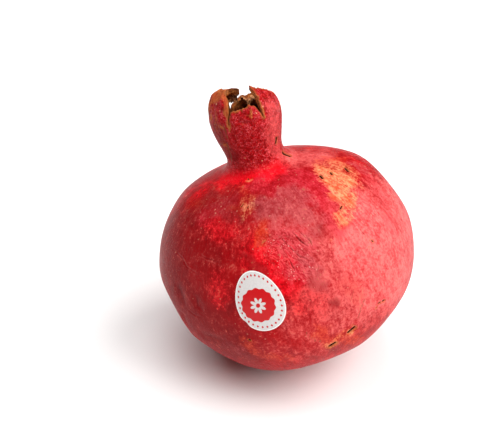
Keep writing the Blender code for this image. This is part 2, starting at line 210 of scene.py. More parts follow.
# Patches of another colour: the mask that they go into, and each one's radius in mm, strength, and the pixels
# that it runs through.
PATCHES = {
    # Bright red skin; below the neck it also carries painted light where the neck shades the skin.
    "scarlet_and_painted_light": (
        (7.0, 1.0, ((230, 171), (256, 166), (266, 168))),
        (6.0, 0.45, ((212, 223), (226, 230))),
        (8.0, 0.62, ((262, 256), (274, 266), (286, 276))),
        (6.0, 0.30, ((278, 240), (292, 250), (292, 262))),
        (9.0, 0.3, ((288, 290), (308, 300))),
        (6.0, 0.35, ((217, 284), (221, 300))),
        (9.0, 0.5, ((198, 188), (208, 180), (219, 173))),
    ),
    "crimson": (
        (8.0, 0.8, ((298, 178), (312, 186), (320, 196))),
        (5.0, 0.7, ((306, 180), (318, 192), (330, 212), (336, 226))),
        (4.5, 0.4, ((366, 176), (380, 196), (392, 228))),
        (6.0, 0.7, ((262, 184), (280, 190))),
        (5.0, 0.6, ((206, 216), (228, 206))),
        (7.0, 0.8, ((286, 238), (300, 250), (298, 268))),
    ),
    "deep": (
        (6.0, 0.8, ((208, 200), (224, 206), (232, 214))),
        (2.4, 0.9, ((183, 205), (190, 196), (198, 190))),
        (2.6, 0.8, ((188, 216), (192, 222))),
        (2.0, 0.8, ((239, 216), (243, 218))),
        (3.0, 0.9, ((249, 256), (254, 266), (262, 272))),
        (3.0, 0.9, ((181, 292), (184, 302))),
        (2.4, 0.8, ((230, 303), (232, 310))),
        (4.0, 0.8, ((212, 337), (228, 344))),
        (2.6, 0.6, ((314, 280), (321, 286))),
        (4.0, 0.5, ((172, 250), (176, 270), (178, 285))),
        (2.6, 0.6, ((318, 228), (322, 234))),
        (2.0, 0.9, ((333, 303), (334, 305))),
        (2.2, 0.9, ((329, 347), (332, 351))),
        (2.4, 0.7, ((254, 206), (258, 212))),
        (4.0, 1.0, ((218, 130), (222, 140), (229, 154))),
    ),
    # Brownish-mauve patches: the skin's own mottling, and a painted sheen on the upper middle where the front
    # and overhead lamps glance off.
    "russet_and_sheen": (
        (6.0, 1.0, ((272, 210), (290, 206), (302, 214))),
        (5.0, 0.9, ((300, 198), (290, 192))),
        (3.6, 1.0, ((258, 204), (262, 212))),
        (4.6, 0.7, ((318, 222), (312, 232))),
        (4.0, 0.6, ((306, 262), (316, 272), (320, 284))),
        (3.0, 0.6, ((355, 165), (366, 172))),
        (3.4, 0.5, ((228, 345), (244, 352))),
    ),
    "amber": (
        (3.0, 1.0, ((262, 222), (264, 234), (261, 244))),
        (2.6, 0.9, ((234, 208), (238, 212))),
        (2.4, 0.5, ((243, 184), (243, 194))),
        (3.0, 0.6, ((192, 203), (202, 203))),
        (4.0, 0.7, ((246, 343), (262, 354), (284, 358))),
        (3.6, 0.9, ((345, 338), (356, 340))),
        (3.0, 0.8, ((318, 330), (330, 342), (352, 330))),
        (4.5, 0.5, ((345, 285), (358, 296))),
        (4.0, 0.7, ((325, 160), (338, 160))),
        (2.6, 0.8, ((341, 214), (345, 224))),
    ),
    "gold": (
        (5.0, 1.0, ((326, 172), (335, 181), (346, 180))),
        (4.6, 0.6, ((334, 165), (348, 172))),
        (4.4, 1.0, ((339, 190), (348, 200))),
        (3.2, 0.8, ((346, 208), (342, 218))),
        (2.6, 0.62, ((246, 200), (249, 207), (247, 212))),
        (1.2, 0.9, ((248, 179), (249, 179))),
        (2.0, 0.8, ((349, 331), (355, 325))),
        (2.2, 0.8, ((329, 345), (338, 340))),
        (1.1, 0.7, ((335, 239), (335, 242))),
    ),
    # Paler pink skin on the right side with a painted sheen over it, and painted light on the neck's right
    # side.
    "pale_skin_and_sheen": (
        (15.0, 1.0, ((360, 250), (376, 264))),
        (13.0, 1.0, ((372, 225), (392, 250), (396, 280))),
        (13.0, 0.8, ((394, 205), (403, 230), (404, 252), (399, 276))),
        (10.0, 0.9, ((350, 286), (372, 300))),
        (9.0, 0.8, ((350, 212), (368, 206))),
        (7.0, 0.8, ((296, 158), (320, 156))),
        (7.0, 0.7, ((280, 214), (300, 224))),
        (8.0, 0.7, ((318, 256), (330, 280))),
        (8.0, 0.6, ((316, 296), (334, 308), (346, 322))),
        (7.0, 0.45, ((288, 316), (306, 326), (330, 336))),
        (6.0, 0.25, ((262, 352), (286, 354), (318, 350))),
        (4.0, 0.8, ((273, 110), (272, 132), (280, 156))),
    ),
    # Darker red on the left and lower left: partly the skin's own tone, partly painted shade on the side
    # turned from the key lamp.
    "dull_and_shade": (
        (15.0, 1.0, ((172, 236), (178, 290), (200, 322), (230, 346))),
        (12.0, 0.8, ((186, 226), (206, 256), (214, 300))),
    ),
    "flecks": (
        (8.0, 1.0, ((282, 246), (298, 262))),
        (4.0, 0.8, ((308, 255), (314, 262))),
        (2.0, 0.8, ((372, 312), (372, 314))),
        (12.0, 0.35, ((215, 205), (240, 225))),
    ),
    "dry": (
        (3.0, 1.0, ((209, 112), (209, 104), (215, 96), (226, 91))),
        (0.9, 1.0, ((224.5, 93), (225, 104), (226.5, 113), (229, 122))),
        (0.7, 0.9, ((230, 123), (231, 129))),
        (1.3, 1.0, ((247, 109), (248, 112), (250, 116))),
        (0.9, 0.7, ((272, 95), (278, 101), (281, 110))),
        (2.4, 0.45, ((214, 114), (218, 126), (226, 146))),
    ),
}
# On the side that the picture doesn't show: how many patches each mask has there, and their radius and length
# in mm.
FAR_PATCHES = {
    "scarlet_and_painted_light": (4, (9.0, 14.0), 16.0),
    "crimson": (8, (7.0, 13.0), 18.0),
    "deep": (14, (2.0, 5.0), 10.0),
    "russet_and_sheen": (7, (3.0, 8.0), 14.0),
    "amber": (9, (2.0, 4.5), 9.0),
    "gold": (5, (1.2, 3.0), 7.0),
    "pale_skin_and_sheen": (7, (11.0, 18.0), 26.0),
    "dull_and_shade": (3, (11.0, 16.0), 20.0),
    "flecks": (3, (4.0, 7.0), 10.0),
}
FAR_STRENGTH = (0.35, 0.75)
FAR_SEED = 23
# The cut stem end is dry as far out as this, in mm.
STEM_DRY_RADIUS = 4.4
# Brown scratches and rubbed lines: half width in mm, strength, and the pixels that each one runs through.
SCRATCHES = (
    (0.30, 1.0, ((305, 331.8), (310.5, 336.7), (316, 341), (320.4, 341))),
    (0.40, 0.9, ((364, 299), (360, 310), (358, 317))),
    (0.30, 0.8, ((353.3, 291.7), (351.3, 300.3))),
    (0.35, 0.6, ((378, 288.8), (373, 298.4))),
    (0.30, 0.8, ((345.6, 321.8), (340.8, 325))),
    (0.30, 0.7, ((309, 308), (308.3, 317))),
    (0.45, 0.8, ((408.6, 240), (408.4, 248))),
    (0.40, 0.7, ((393.4, 249.6), (394.4, 262), (398, 267))),
    (0.34, 1.0, ((224, 124), (226, 132), (228, 139))),
    (0.40, 1.0, ((227, 143), (229, 150), (231, 156), (231.6, 161))),
    (1.00, 0.5, ((296, 147), (304, 146.4))),
    (0.70, 0.7, ((400, 200), (405, 209))),
    (0.35, 0.7, ((275.5, 137), (275, 143.5))),
)
FAR_SCRATCHES, FAR_SCRATCH_WIDTH, FAR_SCRATCH_LENGTH = 12, (0.25, 0.5), (3.0, 9.0)

# Tones that patterns lay over the skin's first two: the pattern, where it starts and ends, its share, and the
# dark and the pale colour.
FIRST_TONES = (0.27, 0.002, 0.004), (0.42, 0.008, 0.010)
PATTERN_TONES = (
    ("broad", 0.38, 0.62, 0.7, (0.38, 0.002, 0.004), (0.56, 0.010, 0.012)),
    ("streaks", 0.48, 0.66, 0.5, (0.20, 0.003, 0.006), (0.36, 0.008, 0.012)),
    ("cloudy", 0.52, 0.70, 0.5, (0.48, 0.006, 0.006), (0.66, 0.026, 0.024)),
)
# Tones of the patches: where the ragged edge starts and ends, how fibrous it is, its share and its colours.
PATCH_TONES = {
    # Darker red, partly painted shade on the left side.
    "dull_and_shade": (0.10, 1.20, 0.5, 0.88, (0.13, 0.001, 0.003), (0.25, 0.008, 0.009)),
    # Pale pink with a painted sheen.
    "pale_skin_and_sheen": (-0.05, 1.35, 0.9, 0.92, (0.70, 0.066, 0.072), (0.86, 0.190, 0.175)),
    # Bright red, with painted light below the neck.
    "scarlet_and_painted_light": (0.10, 0.90, 0.5, 0.95, (0.76, 0.001, 0.005), (1.00, 0.006, 0.020)),
    "crimson": (0.10, 1.10, 0.9, 0.85, (0.38, 0.002, 0.010), (0.62, 0.036, 0.058)),
    "amber": (0.20, 1.10, 0.5, 0.70, (0.48, 0.012, 0.003), (0.66, 0.055, 0.015)),
    # Brownish mauve, with a painted sheen.
    "russet_and_sheen": (0.10, 1.10, 0.5, 0.75, (0.23, 0.016, 0.022), (0.48, 0.078, 0.084)),
    "deep": (0.20, 1.20, 0.5, 0.75, (0.12, 0.004, 0.006), (0.28, 0.018, 0.018)),
    "gold": (0.15, 1.20, 1.3, 0.92, (0.62, 0.050, 0.018), (0.90, 0.360, 0.170)),
}

STAMENS, STAMEN_SEED = 64, 11
STAMEN_FOOT_HEIGHT, STAMEN_FOOT_RADIUS = 56.5 * MM, 10.6 * MM
STAMEN_LENGTH, STAMEN_RADIUS, ANTHER_RADIUS = 6.2 * MM, 0.17 * MM, 0.55 * MM
STAMEN_SIDES, STAMEN_CUTS = 6, (0.30, -0.30, -0.12, 0.06, 0.20, 0.38)

# Scraps of withered petals in the calyx: the sepal that each one clings to, its span across and up it, how
# far it stands off the wall, and how deep it is crumpled, both in mm.
WITHERED = (
    (3, (-0.10, 0.70), (1.70, 3.00), 0.0, 2.4),
    (2, (0.45, 1.00), (1.40, 2.20), 0.3, 1.8),
    (4, (-0.34, 0.12), (1.30, 1.96), 0.2, 0.5),
    (0, (0.00, 0.45), (0.70, 1.50), 0.6, 0.9),
    (5, (0.35, 0.80), (0.95, 1.45), 0.2, 1.0),
)
PETAL_CUTS, PETAL_THICKNESS = 36, 0.16 * MM

# Sun lamps: strength, tint, then in degrees the turn and rise that each one shines from, and its breadth.
LAMPS = {
    "key": (3.4, (1.0, 0.985, 0.97), (-8.0, 40.0), 62.0),
    "overhead": (1.7, (1.0, 1.0, 1.0), (150.0, 74.0), 60.0),
    "front": (1.3, (1.0, 1.0, 1.0), (-62.0, 54.0), 40.0),
}
ROOM_STRENGTH, BACKDROP_STRENGTH = 0.10, 1.0
FLOOR_SIZE, FLOOR_TINT = 12.0, (0.90, 0.895, 0.89)


def direction(turn, rise):
    turn, rise = math.radians(turn), math.radians(rise)
    return Vector((math.cos(rise) * math.cos(turn), math.cos(rise) * math.sin(turn), math.sin(rise)))


def smooth_step(value, low, high):
    share = np.clip((value - low) / (high - low), 0.0, 1.0)
    return share * share * (3 - 2 * share)


def bell(value, breadth):
    """1 at 0, falling off smoothly on both sides over that breadth."""
    return np.exp(-((value / breadth) ** 2))


def smooth_line(points, steps):
    """A Catmull-Rom line through the points but the first and last, with that many steps to each span."""
    line = []
    for span in zip(points, points[1:], points[2:], points[3:]):
        a, b, c, d = np.array(span)
        for t in np.arange(steps) / steps:
            square = (2 * a - 5 * b + 4 * c - d) * t**2
            cube = (3 * b - a - 3 * c + d) * t**3
            line.append(0.5 * (2 * b + (c - a) * t + square + cube))
    return line


def rind_arc(steps):
    points = []
    for rise in np.linspace(RIND_ARC_FROM, RIND_ARC_TO, steps + 1):
        half_height = RIND_ABOVE if rise > 0 else RIND_BELOW
        points.append((RIND_RADIUS * math.cos(rise), half_height * math.sin(rise)))
    return points


class Outline:
    """A line up the fruit, as radius and height in mm by the way along it."""

    def __init__(self, points):
        self.points = np.array(points)
        steps = np.linalg.norm(np.diff(self.points, axis=0), axis=1)
        self.way = np.concatenate([[0.0], np.cumsum(steps)])
        self.length = self.way[-1]

    def at(self, way):
        return np.interp(way, self.way, self.points[:, 0]), np.interp(way, self.way, self.points[:, 1])

    def way_at_height(self, height):
        """The way along it, counted from below, where the line first passes that height."""
        return self.way[np.argmax(self.points[:, 1] > height)]


def outer_outline():
    """From the stem end up the rind and the neck, to where the sepals start to part."""
    coarse, fine = rind_arc(RIND_ARC_STEPS), rind_arc(RIND_ARC_STEPS * OUTLINE_STEPS)
    stem = smooth_line([STEM_END[0], *STEM_END, coarse[0], coarse[1]], OUTLINE_STEPS)
    neck = smooth_line([coarse[-2], coarse[-1], *NECK_OUTLINE, NECK_OUTLINE[-1]], OUTLINE_STEPS)
    return Outline([*stem, *fine[:-1], *neck, NECK_OUTLINE[-1]])


def inner_outline():
    """From the middle of the cup's floor up its wall to the same height."""
    radius, height = NECK_OUTLINE[-1]
    inside = SEPAL_WALL / MM
    top = (radius - inside * math.cos(CALYX_FLARE), height - inside * math.sin(CALYX_FLARE))
    line = [*reversed(CUP_OUTLINE), top]
    return Outline([*smooth_line([line[0], *line, line[-1]], OUTLINE_STEPS), top])


OUTER, INNER = outer_outline(), inner_outline()


def bent(points):
    """Bends the neck towards +X: straight below BEND_FROM, an arc up to BEND_TO, straight again above."""
    arc = (BEND_TO - BEND_FROM) / NECK_BEND
    x, y, z = points.T
    along = np.clip(z, BEND_FROM, BEND_TO)
    angle = NECK_BEND * (along - BEND_FROM) / (BEND_TO - BEND_FROM)
    beyond = z - along
    middle_x = arc * (1 - np.cos(angle)) + beyond * np.sin(angle)
    middle_z = BEND_FROM + arc * np.sin(angle) + beyond * np.cos(angle)
    return np.stack([middle_x + x * np.cos(angle), y, middle_z - x * np.sin(angle)], axis=1)


def laid(points):
    """From the fruit's own frame to the table's frame."""
    lean = Matrix.Rotation(-BODY_LEAN, 3, "Y") @ Matrix.Rotation(-BODY_LEAN_BACK, 3, "X")
    return points @ np.array(lean).T + np.array(BODY_MIDDLE)


def swollen(points, share):
    """Raises points by that share of the bulges that they are on."""
    from_middle = points - np.array(BODY_MIDDLE)
    outwards = from_middle / np.linalg.norm(from_middle, axis=1, keepdims=True)
    for turn, rise, height, breadth in BULGES:
        towards = np.clip(outwards @ np.array(direction(turn, rise)), -1.0, 1.0)
        near = bell(np.arccos(towards), math.radians(breadth))
        points = points + outwards * (share * height * MM * near)[:, None]
    return points


def pressed(points):
    """Presses points inwards where they stand proud of a flat side."""
    for turn, rise, distance in FLAT_SIDES:
        outwards = np.array(direction(turn, rise))
        proud = (points - np.array(BODY_MIDDLE)) @ outwards - distance * MM
        points = points - np.outer(FLAT_SOFTNESS * np.logaddexp(0.0, proud / FLAT_SOFTNESS), outwards)
    return points


def fruit_points(turn, radius, height):
    """Points given round the fruit's own axis, where they lie on the table."""
    share = smooth_step(-height, -FADE_TO, -FADE_FROM)
    knuckle = KNUCKLE_SHARE * np.cos(KNUCKLES * (turn - KNUCKLE_TURN))
    oval = OVAL_SHARE * np.cos(2 * (turn - OVAL_TURN))
    radius = radius * (1 + share * (knuckle + oval))
    points = np.stack([radius * np.cos(turn), radius * np.sin(turn), height], axis=1)
    return pressed(swollen(laid(bent(points)), share))


def arc_from(radius, height, angle, curve, length):
    """The end of an arc that starts at that angle inwards from upright and turns inwards at that rate."""
    turned = angle + curve * length
    inwards = (np.cos(angle) - np.cos(turned)) / curve
    upwards = (np.sin(turned) - np.sin(angle)) / curve
    return radius - inwards, height + upwards, turned


def turn_at(sepal, across):
    return np.radians(SLITS[sepal, 0] * (1 - across) + SLITS[sepal + 1, 0] * across)


def ragged(turn):
    """How much of its length a sepal loses or gains along its torn end."""
    waves = ((19.0, 0.4, 0.030), (31.0, 2.1, 0.026), (53.0, 4.4, 0.018), (97.0, 1.3, 0.012))
    return 1 + sum(share * np.sin(count * turn + start) for count, start, share in waves)


def buckle(sepal, across, free_share):
    """How far a sepal's dry wall stands out: it buckles lengthwise, and its long edges roll inwards."""
    folds = 0.40 * np.sin(2 * np.pi * (1.7 * across + 0.37 * sepal))
    folds = folds + 0.18 * np.sin(2 * np.pi * (4.1 * across + 0.21 * sepal + 1.3 * free_share))
    to_edge = np.minimum(across, 1 - across)
    return free_share * (folds - 0.8 * bell(to_edge, 0.08)) * MM


def sepal_points(sepal, across, rise, inner, extra=0.0):
    """The turns and the places of points on the sepals' wall, from their place across and up it.

    inner is 0 on the wall's outside and 1 on its inside. rise is 0 at the outline's end, 1 where the slits
    start and 2 at the sepal's end. extra is how much deeper they lie.
    """
    reach, tip_angle, early_bend, tip_at, edge_loss, roundness = SEPALS[sepal].T
    root = (SLITS[sepal, 1] * (1 - across) + SLITS[sepal + 1, 1] * across) * MM
    turn = turn_at(sepal, across)
    side = np.abs(across - tip_at) / np.maximum(tip_at, 1 - tip_at)
    end = root + (reach * MM - root) * (1 - edge_loss * side**roundness) * ragged(turn)
    free, half = (end - root) * np.maximum(rise - 1, 0.0), 0.5 * (reach * MM - root)
    radius, height = (value * MM for value in NECK_OUTLINE[-1])
    radius, height, angle = arc_from(radius, height, CALYX_FLARE, CALYX_CURVE, root * np.minimum(rise, 1.0))
    bend = np.radians(tip_angle) - angle
    early, late = np.minimum(free, half), np.maximum(free - half, 0.0)
    for share, stretch in ((early_bend, early), (1 - early_bend, late)):
        radius, height, angle = arc_from(radius, height, angle, share * bend / half, stretch)
    free_share = 0.5 * free / half
    length_share = (root * np.minimum(rise, 1.0) + free) / (reach * MM)
    wall = SEPAL_WALL + (SEPAL_TIP_WALL - SEPAL_WALL) * np.minimum(length_share, 1.0)
    depth = inner * wall + extra - buckle(sepal, across, free_share)
    half_gape = 0.5 * free_share * MM / np.maximum(radius, CROWN_MIDDLE_RADIUS)
    turn = turn + half_gape * (SLITS[sepal, 2] * (1 - across) - SLITS[sepal + 1, 2] * across)
    return turn, fruit_points(turn, radius - depth * np.cos(angle), height - depth * np.sin(angle))


def numbers_of(collection, field, width=1):
    """A field of all of a mesh's elements as an array."""
    values = np.zeros(len(collection) * width, np.float32)
    collection.foreach_get(field, values)
    return values.astype(float).reshape((-1, width) if width > 1 else -1)


def points_of(piece):
    return numbers_of(piece.data.vertices, "co", 3)


def move_points(piece, places):
    piece.data.vertices.foreach_set("co", np.asarray(places, np.float32).ravel())
    piece.data.update()


def normals_of(piece):
    return numbers_of(piece.data.vertex_normals, "vector", 3)


def mark(piece, name, values):
    """Stores a number, or a vector, on each point of a piece."""
    values = np.asarray(values, np.float32)
    kind, field = ("FLOAT", "value") if values.ndim == 1 else ("FLOAT_VECTOR", "vector")
    piece.data.attributes.new(name, kind, "POINT").data.foreach_set(field, values.ravel())


def marked(piece, name):
    return numbers_of(piece.data.attributes[name].data, "value")


def deselect():
    for thing in bpy.context.selected_objects:
        thing.select_set(False)


def only(piece):
    """Makes a piece the one that the operators work on."""
    deselect()
    piece.select_set(True)
    bpy.context.view_layer.objects.active = piece


def edit(piece, mode, chosen=None):
    """Opens a piece for editing with its chosen points, edges or faces selected, or all of them."""
    only(piece)
    bpy.ops.object.mode_set(mode="EDIT")
    bpy.ops.mesh.select_mode(type=mode)
    bpy.ops.mesh.select_all(action="SELECT" if chosen is None else "DESELECT")
    if chosen is not None:
        bpy.ops.object.mode_set(mode="OBJECT")
        parts = {"VERT": "vertices", "EDGE": "edges", "FACE": "polygons"}[mode]
        getattr(piece.data, parts).foreach_set("select", np.asarray(chosen, bool))
        bpy.ops.object.mode_set(mode="EDIT")


def done():
    bpy.ops.object.mode_set(mode="OBJECT")


def added(operator, name, **settings):
    """Adds a piece with one of the mesh operators, and names it."""
    deselect()
    operator(**settings)
    bpy.context.object.name = name
    return bpy.context.object


def joined(pieces, name):
    """Joins pieces to the first of them."""
    only(pieces[0])
    for piece in pieces[1:]:
        piece.select_set(True)
    bpy.ops.object.join()
    pieces[0].name = name
    return pieces[0]


def linked(name, data):
    """A new object in the scene, with that data."""
    thing = bpy.data.objects.new(name, data)
    bpy.context.scene.collection.objects.link(thing)
    return thing


def apply(piece, kind, settings):
    """Adds a modifier to a piece and applies it."""
    only(piece)
    modifier = piece.modifiers.new(kind.lower(), kind)
    for name, value in settings.items():
        setattr(modifier, name, value)
    bpy.ops.object.modifier_apply(modifier=modifier.name)


def noise_at(places, size_mm, shift=0.0):
    """Smooth noise from about -1 to 1 at each place, with features of that size."""
    scaled = places / (size_mm * MM) + shift
    return np.array([noise.noise(Vector(place)) for place in scaled])


def camera_ray(pixel):
    """The direction from the camera through a pixel."""
    focal = CAMERA_LENS / CAMERA_SENSOR * PICTURE_WIDTH
    across, down = pixel
    ray = Vector((across - PICTURE_WIDTH / 2, PICTURE_HEIGHT / 2 - down, -focal))
    return (Matrix.Rotation(CAMERA_TILT, 3, "X") @ ray).normalized()


def solid_tree(node):
    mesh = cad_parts[node].data
    return BVHTree.FromPolygons([v.co for v in mesh.vertices], [tuple(p.vertices) for p in mesh.polygons])


FRUIT_TREE = solid_tree("pomegranate")


def on_skin(pixel):
    """The place on the fruit that a pixel shows."""
    place = FRUIT_TREE.ray_cast(CAMERA_PLACE, camera_ray(pixel))[0]
    if place is None:
        raise ValueError(f"no skin at pixel {pixel}")
    return np.array(place)


def line_on_skin(pixels):
    return np.array([on_skin(pixel) for pixel in pixels])


CREASE_LINES = [(depth, half_width, line_on_skin(pixels)) for depth, half_width, pixels in CREASES]
SPLIT_LINES = [(depth, half_width, line_on_skin(ends)) for depth, half_width, *ends in SPLITS]


def distance_to_line(places, line):
    """How far each place is from a line of points, and the share of the line's length where it is nearest."""
    best = np.full(len(places), np.inf)
    share = np.zeros(len(places))
    count = len(line) - 1
    for number, (start, end) in enumerate(zip(line, line[1:])):
        step = end - start
        t = np.clip((places - start) @ step / (step @ step), 0.0, 1.0)
        away = np.linalg.norm(places - start - t[:, None] * step, axis=1)
        nearer = away < best
        best[nearer] = away[nearer]
        share[nearer] = (number + t[nearer]) / count
    return best, share


def rows_between(start, end, spacing):
    return np.linspace(start, end, max(2, round((end - start) / spacing) + 1))[:-1]


def flat_sheet(name, outline_rows, slits_from):
    """A flat grid, a unit wide to each sepal, with its rows in mm up the outline, slit between the sepals."""
    strips = [strip + np.arange(count) / count for strip, count in enumerate(STRIP_COLUMNS)]
    columns = np.concatenate([*strips, [len(STRIP_COLUMNS)]])
    to_slits = slits_from - SEPAL_UNIT + SEPAL_UNIT * np.arange(SLIT_ROWS) / SLIT_ROWS
    to_ends = slits_from + SEPAL_UNIT * np.arange(SEPAL_ROWS + 1) / SEPAL_ROWS
    rows = np.concatenate([outline_rows, to_slits, to_ends])
    cuts = {"x_subdivisions": len(columns) - 1, "y_subdivisions": len(rows) - 1}
    sheet = added(bpy.ops.mesh.primitive_grid_add, name, size=1.0, **cuts)
    places = points_of(sheet).round(5)
    order = np.lexsort((places[:, 0], places[:, 1]))
    across, up = np.meshgrid(columns, rows)
    places[order] = np.stack([across.ravel(), up.ravel(), np.zeros(across.size)], axis=1)
    move_points(sheet, places)
    ends = places[np.array([tuple(edge.vertices) for edge in sheet.data.edges])]
    across_at, from_row = ends[:, 0, 0], ends[:, :, 1].min(axis=1)
    upright = (across_at == ends[:, 1, 0]) & (across_at % 1 == 0) & (from_row >= slits_from)
    inland = (across_at > 0) & (across_at < len(STRIP_COLUMNS))
    edit(sheet, "EDGE", upright & inland)
    bpy.ops.mesh.edge_split(type="EDGE")
    done()
    return sheet


def strips_of(sheet):
    """The strip of the sheet that each of its points belongs to."""
    mesh = sheet.data
    strip = np.zeros(len(mesh.vertices), int)
    for face in mesh.polygons:
        number = int(face.center.x)
        for corner in face.vertices:
            strip[corner] = number
    return strip


def rolled(flat, strip, outline, inner):
    """Where points of a flat sheet come to lie on the fruit, with their turns."""
    sepal = (ROLLED_FROM + strip) % len(SEPALS)
    across = flat[:, 0] - strip
    turn = turn_at(sepal, across)
    radius, height = outline.at(np.minimum(flat[:, 1], outline.length))
    places = fruit_points(turn, radius * MM, height * MM)
    above = flat[:, 1] > outline.length
    rise = (flat[above, 1] - outline.length) / SEPAL_UNIT
    turn[above], places[above] = sepal_points(sepal[above], across[above], rise, inner)
    return turn, places


def cut_finer(sheet, reach):
    """Cuts the outer sheet's faces in four where they come to lie near a crease or a split."""
    faces = np.array([tuple(face.center) for face in sheet.data.polygons])
    strip = faces[:, 0].astype(int)
    _, places = rolled(faces, strip, OUTER, 0.0)
    near = np.zeros(len(places), bool)
    for *_, line in (*CREASE_LINES, *SPLIT_LINES):
        close = np.linalg.norm(places - line.mean(axis=0), axis=1) < reach + np.ptp(line, axis=0).max()
        away, _ = distance_to_line(places[close], line)
        near[np.flatnonzero(close)[away < reach]] = True
    to_slit = np.minimum(faces[:, 0] - strip, strip + 1 - faces[:, 0]) * np.array(STRIP_COLUMNS)[strip]
    near &= (to_slit > SLIT_MARGIN) | (faces[:, 1] < OUTER.length)
    edit(sheet, "FACE", near)
    bpy.ops.mesh.subdivide(number_cuts=1)
    done()


def roll_up(sheet, outline, inner):
    """Rolls a flat sheet up into the fruit's skin, and marks what the finish and the relief need."""
    flat, strip = points_of(sheet), strips_of(sheet)
    turn, places = rolled(flat, strip, outline, inner)
    way = np.minimum(flat[:, 1], outline.length)
    rise = np.maximum(flat[:, 1] - outline.length, 0.0) / SEPAL_UNIT
    around = RIND_RADIUS * np.stack([np.cos(turn), np.sin(turn)], axis=1)
    mark(sheet, "rise", rise)
    mark(sheet, "inside", np.full(len(flat), float(inner)))
    mark(sheet, "grain", np.column_stack([around, way + rise * SEPAL_UNIT]))
    mark(sheet, "way", way)
    move_points(sheet, places)


def make_skin():
    """The fruit's outside and its calyx's inside, bridged round the sepals' edges and cut where it rests."""
    rind_from = OUTER.way[len(STEM_END) * OUTLINE_STEPS]
    neck_from = OUTER.way_at_height(NECK_OUTLINE[0][1])
    outer_rows = np.concatenate(
        [
            rows_between(0.0, rind_from, STEM_ROW),
            rows_between(rind_from, neck_from, RIND_ROW),
            rows_between(neck_from, OUTER.length, NECK_ROW),
        ]
    )
    outer = flat_sheet("skin", outer_rows, OUTER.length + SEPAL_UNIT)
    for reach in FINER_REACHES:
        cut_finer(outer, reach)
    roll_up(outer, OUTER, 0.0)
    inner = flat_sheet("cup", rows_between(0.0, INNER.length, CUP_ROW), INNER.length + SEPAL_UNIT)
    roll_up(inner, INNER, 1.0)
    joined([outer, inner], "skin")
    edit(outer, "VERT")
    bpy.ops.mesh.remove_doubles(threshold=MERGE)
    bpy.ops.mesh.select_mode(type="EDGE")
    bpy.ops.mesh.select_all(action="DESELECT")
    bpy.ops.mesh.select_non_manifold(extend=False)
    bpy.ops.mesh.bridge_edge_loops(number_cuts=2, interpolation="LINEAR")
    done()
    rim = np.zeros(len(outer.data.vertices))
    for face in outer.data.polygons:
        if face.select:
            rim[list(face.vertices)] = 1.0
    mark(outer, "rim", rim)
    edit(outer, "VERT")
    bpy.ops.mesh.bisect(plane_co=(0, 0, 0), plane_no=(0, 0, 1), use_fill=True, clear_inner=True)
    bpy.ops.mesh.select_all(action="SELECT")
    bpy.ops.mesh.normals_make_consistent(inside=False)
    done()
    return outer


def soften_rims(skin):
    """Rounds the sepals' torn edges, and marks how far each point is from them."""
    rim = marked(skin, "rim") > 0.5
    edit(skin, "VERT", rim)
    bpy.ops.mesh.vertices_smooth(factor=0.5, repeat=3)
    done()
    places, rise = points_of(skin), marked(skin, "rise")
    tree = kdtree.KDTree(int(rim.sum()))
    for number in np.flatnonzero(rim):
        tree.insert(Vector(places[number]), number)
    tree.balance()
    away = np.full(len(places), FAR_FROM_EDGE)
    for number in np.flatnonzero((rise > 0.0) | rim):
        away[number] = tree.find(Vector(places[number]))[2] / MM
    mark(skin, "edge_way", away)


def crease_skin(skin):
    """Presses the creases and the small splits into the skin, and gives it its low relief."""
    places, normals = points_of(skin), normals_of(skin)
    outer = marked(skin, "inside") < 0.5
    neck_from, neck_to = (OUTER.way_at_height(height) for _, height in NECK_OUTLINE[1:3])
    neck = smooth_step(marked(skin, "way"), neck_from, neck_to + 2)
    mark(skin, "neck", neck * outer)
    waves = 0.16 * noise_at(places, 14.0) + 0.05 * noise_at(places, 3.4, 5.0)
    lift = np.where(outer, waves, 0.0) * (1 - neck)
    ridges = 0.5 - np.abs(noise_at(places, 1.9, 2.0)) - 0.6 * np.abs(noise_at(places, 1.1, 7.0))
    lift += np.where(outer, neck * (0.22 * ridges + 0.22 * noise_at(places, 4.5, 3.0)), 0.12 * ridges)
    crease_shade_mask, lip_highlight_mask, split_shade_mask, halo_mask = np.zeros((4, len(places)))
    wander = noise_at(places, 2.2, 1.0)
    for depth, half_width, line in CREASE_LINES:
        away, share = distance_to_line(places, line)
        away = away / MM + 0.30 * half_width * wander
        taper = np.clip(4 * share * (1 - share), 0.0, 1.0) ** 0.5 * outer
        pressed_in = bell(away, half_width) * taper
        lip = bell(away - 1.7 * half_width, 0.7 * half_width) * taper
        lift += depth * (0.22 * lip - pressed_in)
        sharp = half_width < SHARP_CREASE
        crease_shade_mask = np.maximum(crease_shade_mask, pressed_in * (1.0 if sharp else 0.6))
        lip_highlight_mask = np.maximum(lip_highlight_mask, lip * sharp * (1 - neck))
    for depth, half_width, line in SPLIT_LINES:
        away = distance_to_line(places, line)[0] / MM
        pressed_in = bell(away, half_width) * outer
        lift += depth * (0.30 * bell(away - 2.0 * half_width, half_width) * outer - pressed_in)
        split_shade_mask = np.maximum(split_shade_mask, pressed_in)
        halo_mask = np.maximum(halo_mask, bell(away, 2.4 * half_width) * outer)
    lift[places[:, 2] < RIM_OF_REST] = 0.0
    places = places + normals * (lift * MM)[:, None]
    places[:, 2] = np.maximum(places[:, 2], 0.0)
    move_points(skin, places)
    # The crease and split masks feed painted shade, and the lip mask a painted highlight.
    masks = {"crease": crease_shade_mask, "lip": lip_highlight_mask, "split": split_shade_mask, "halo": halo_mask}
    for name, mask in masks.items():
        mark(skin, name, mask)


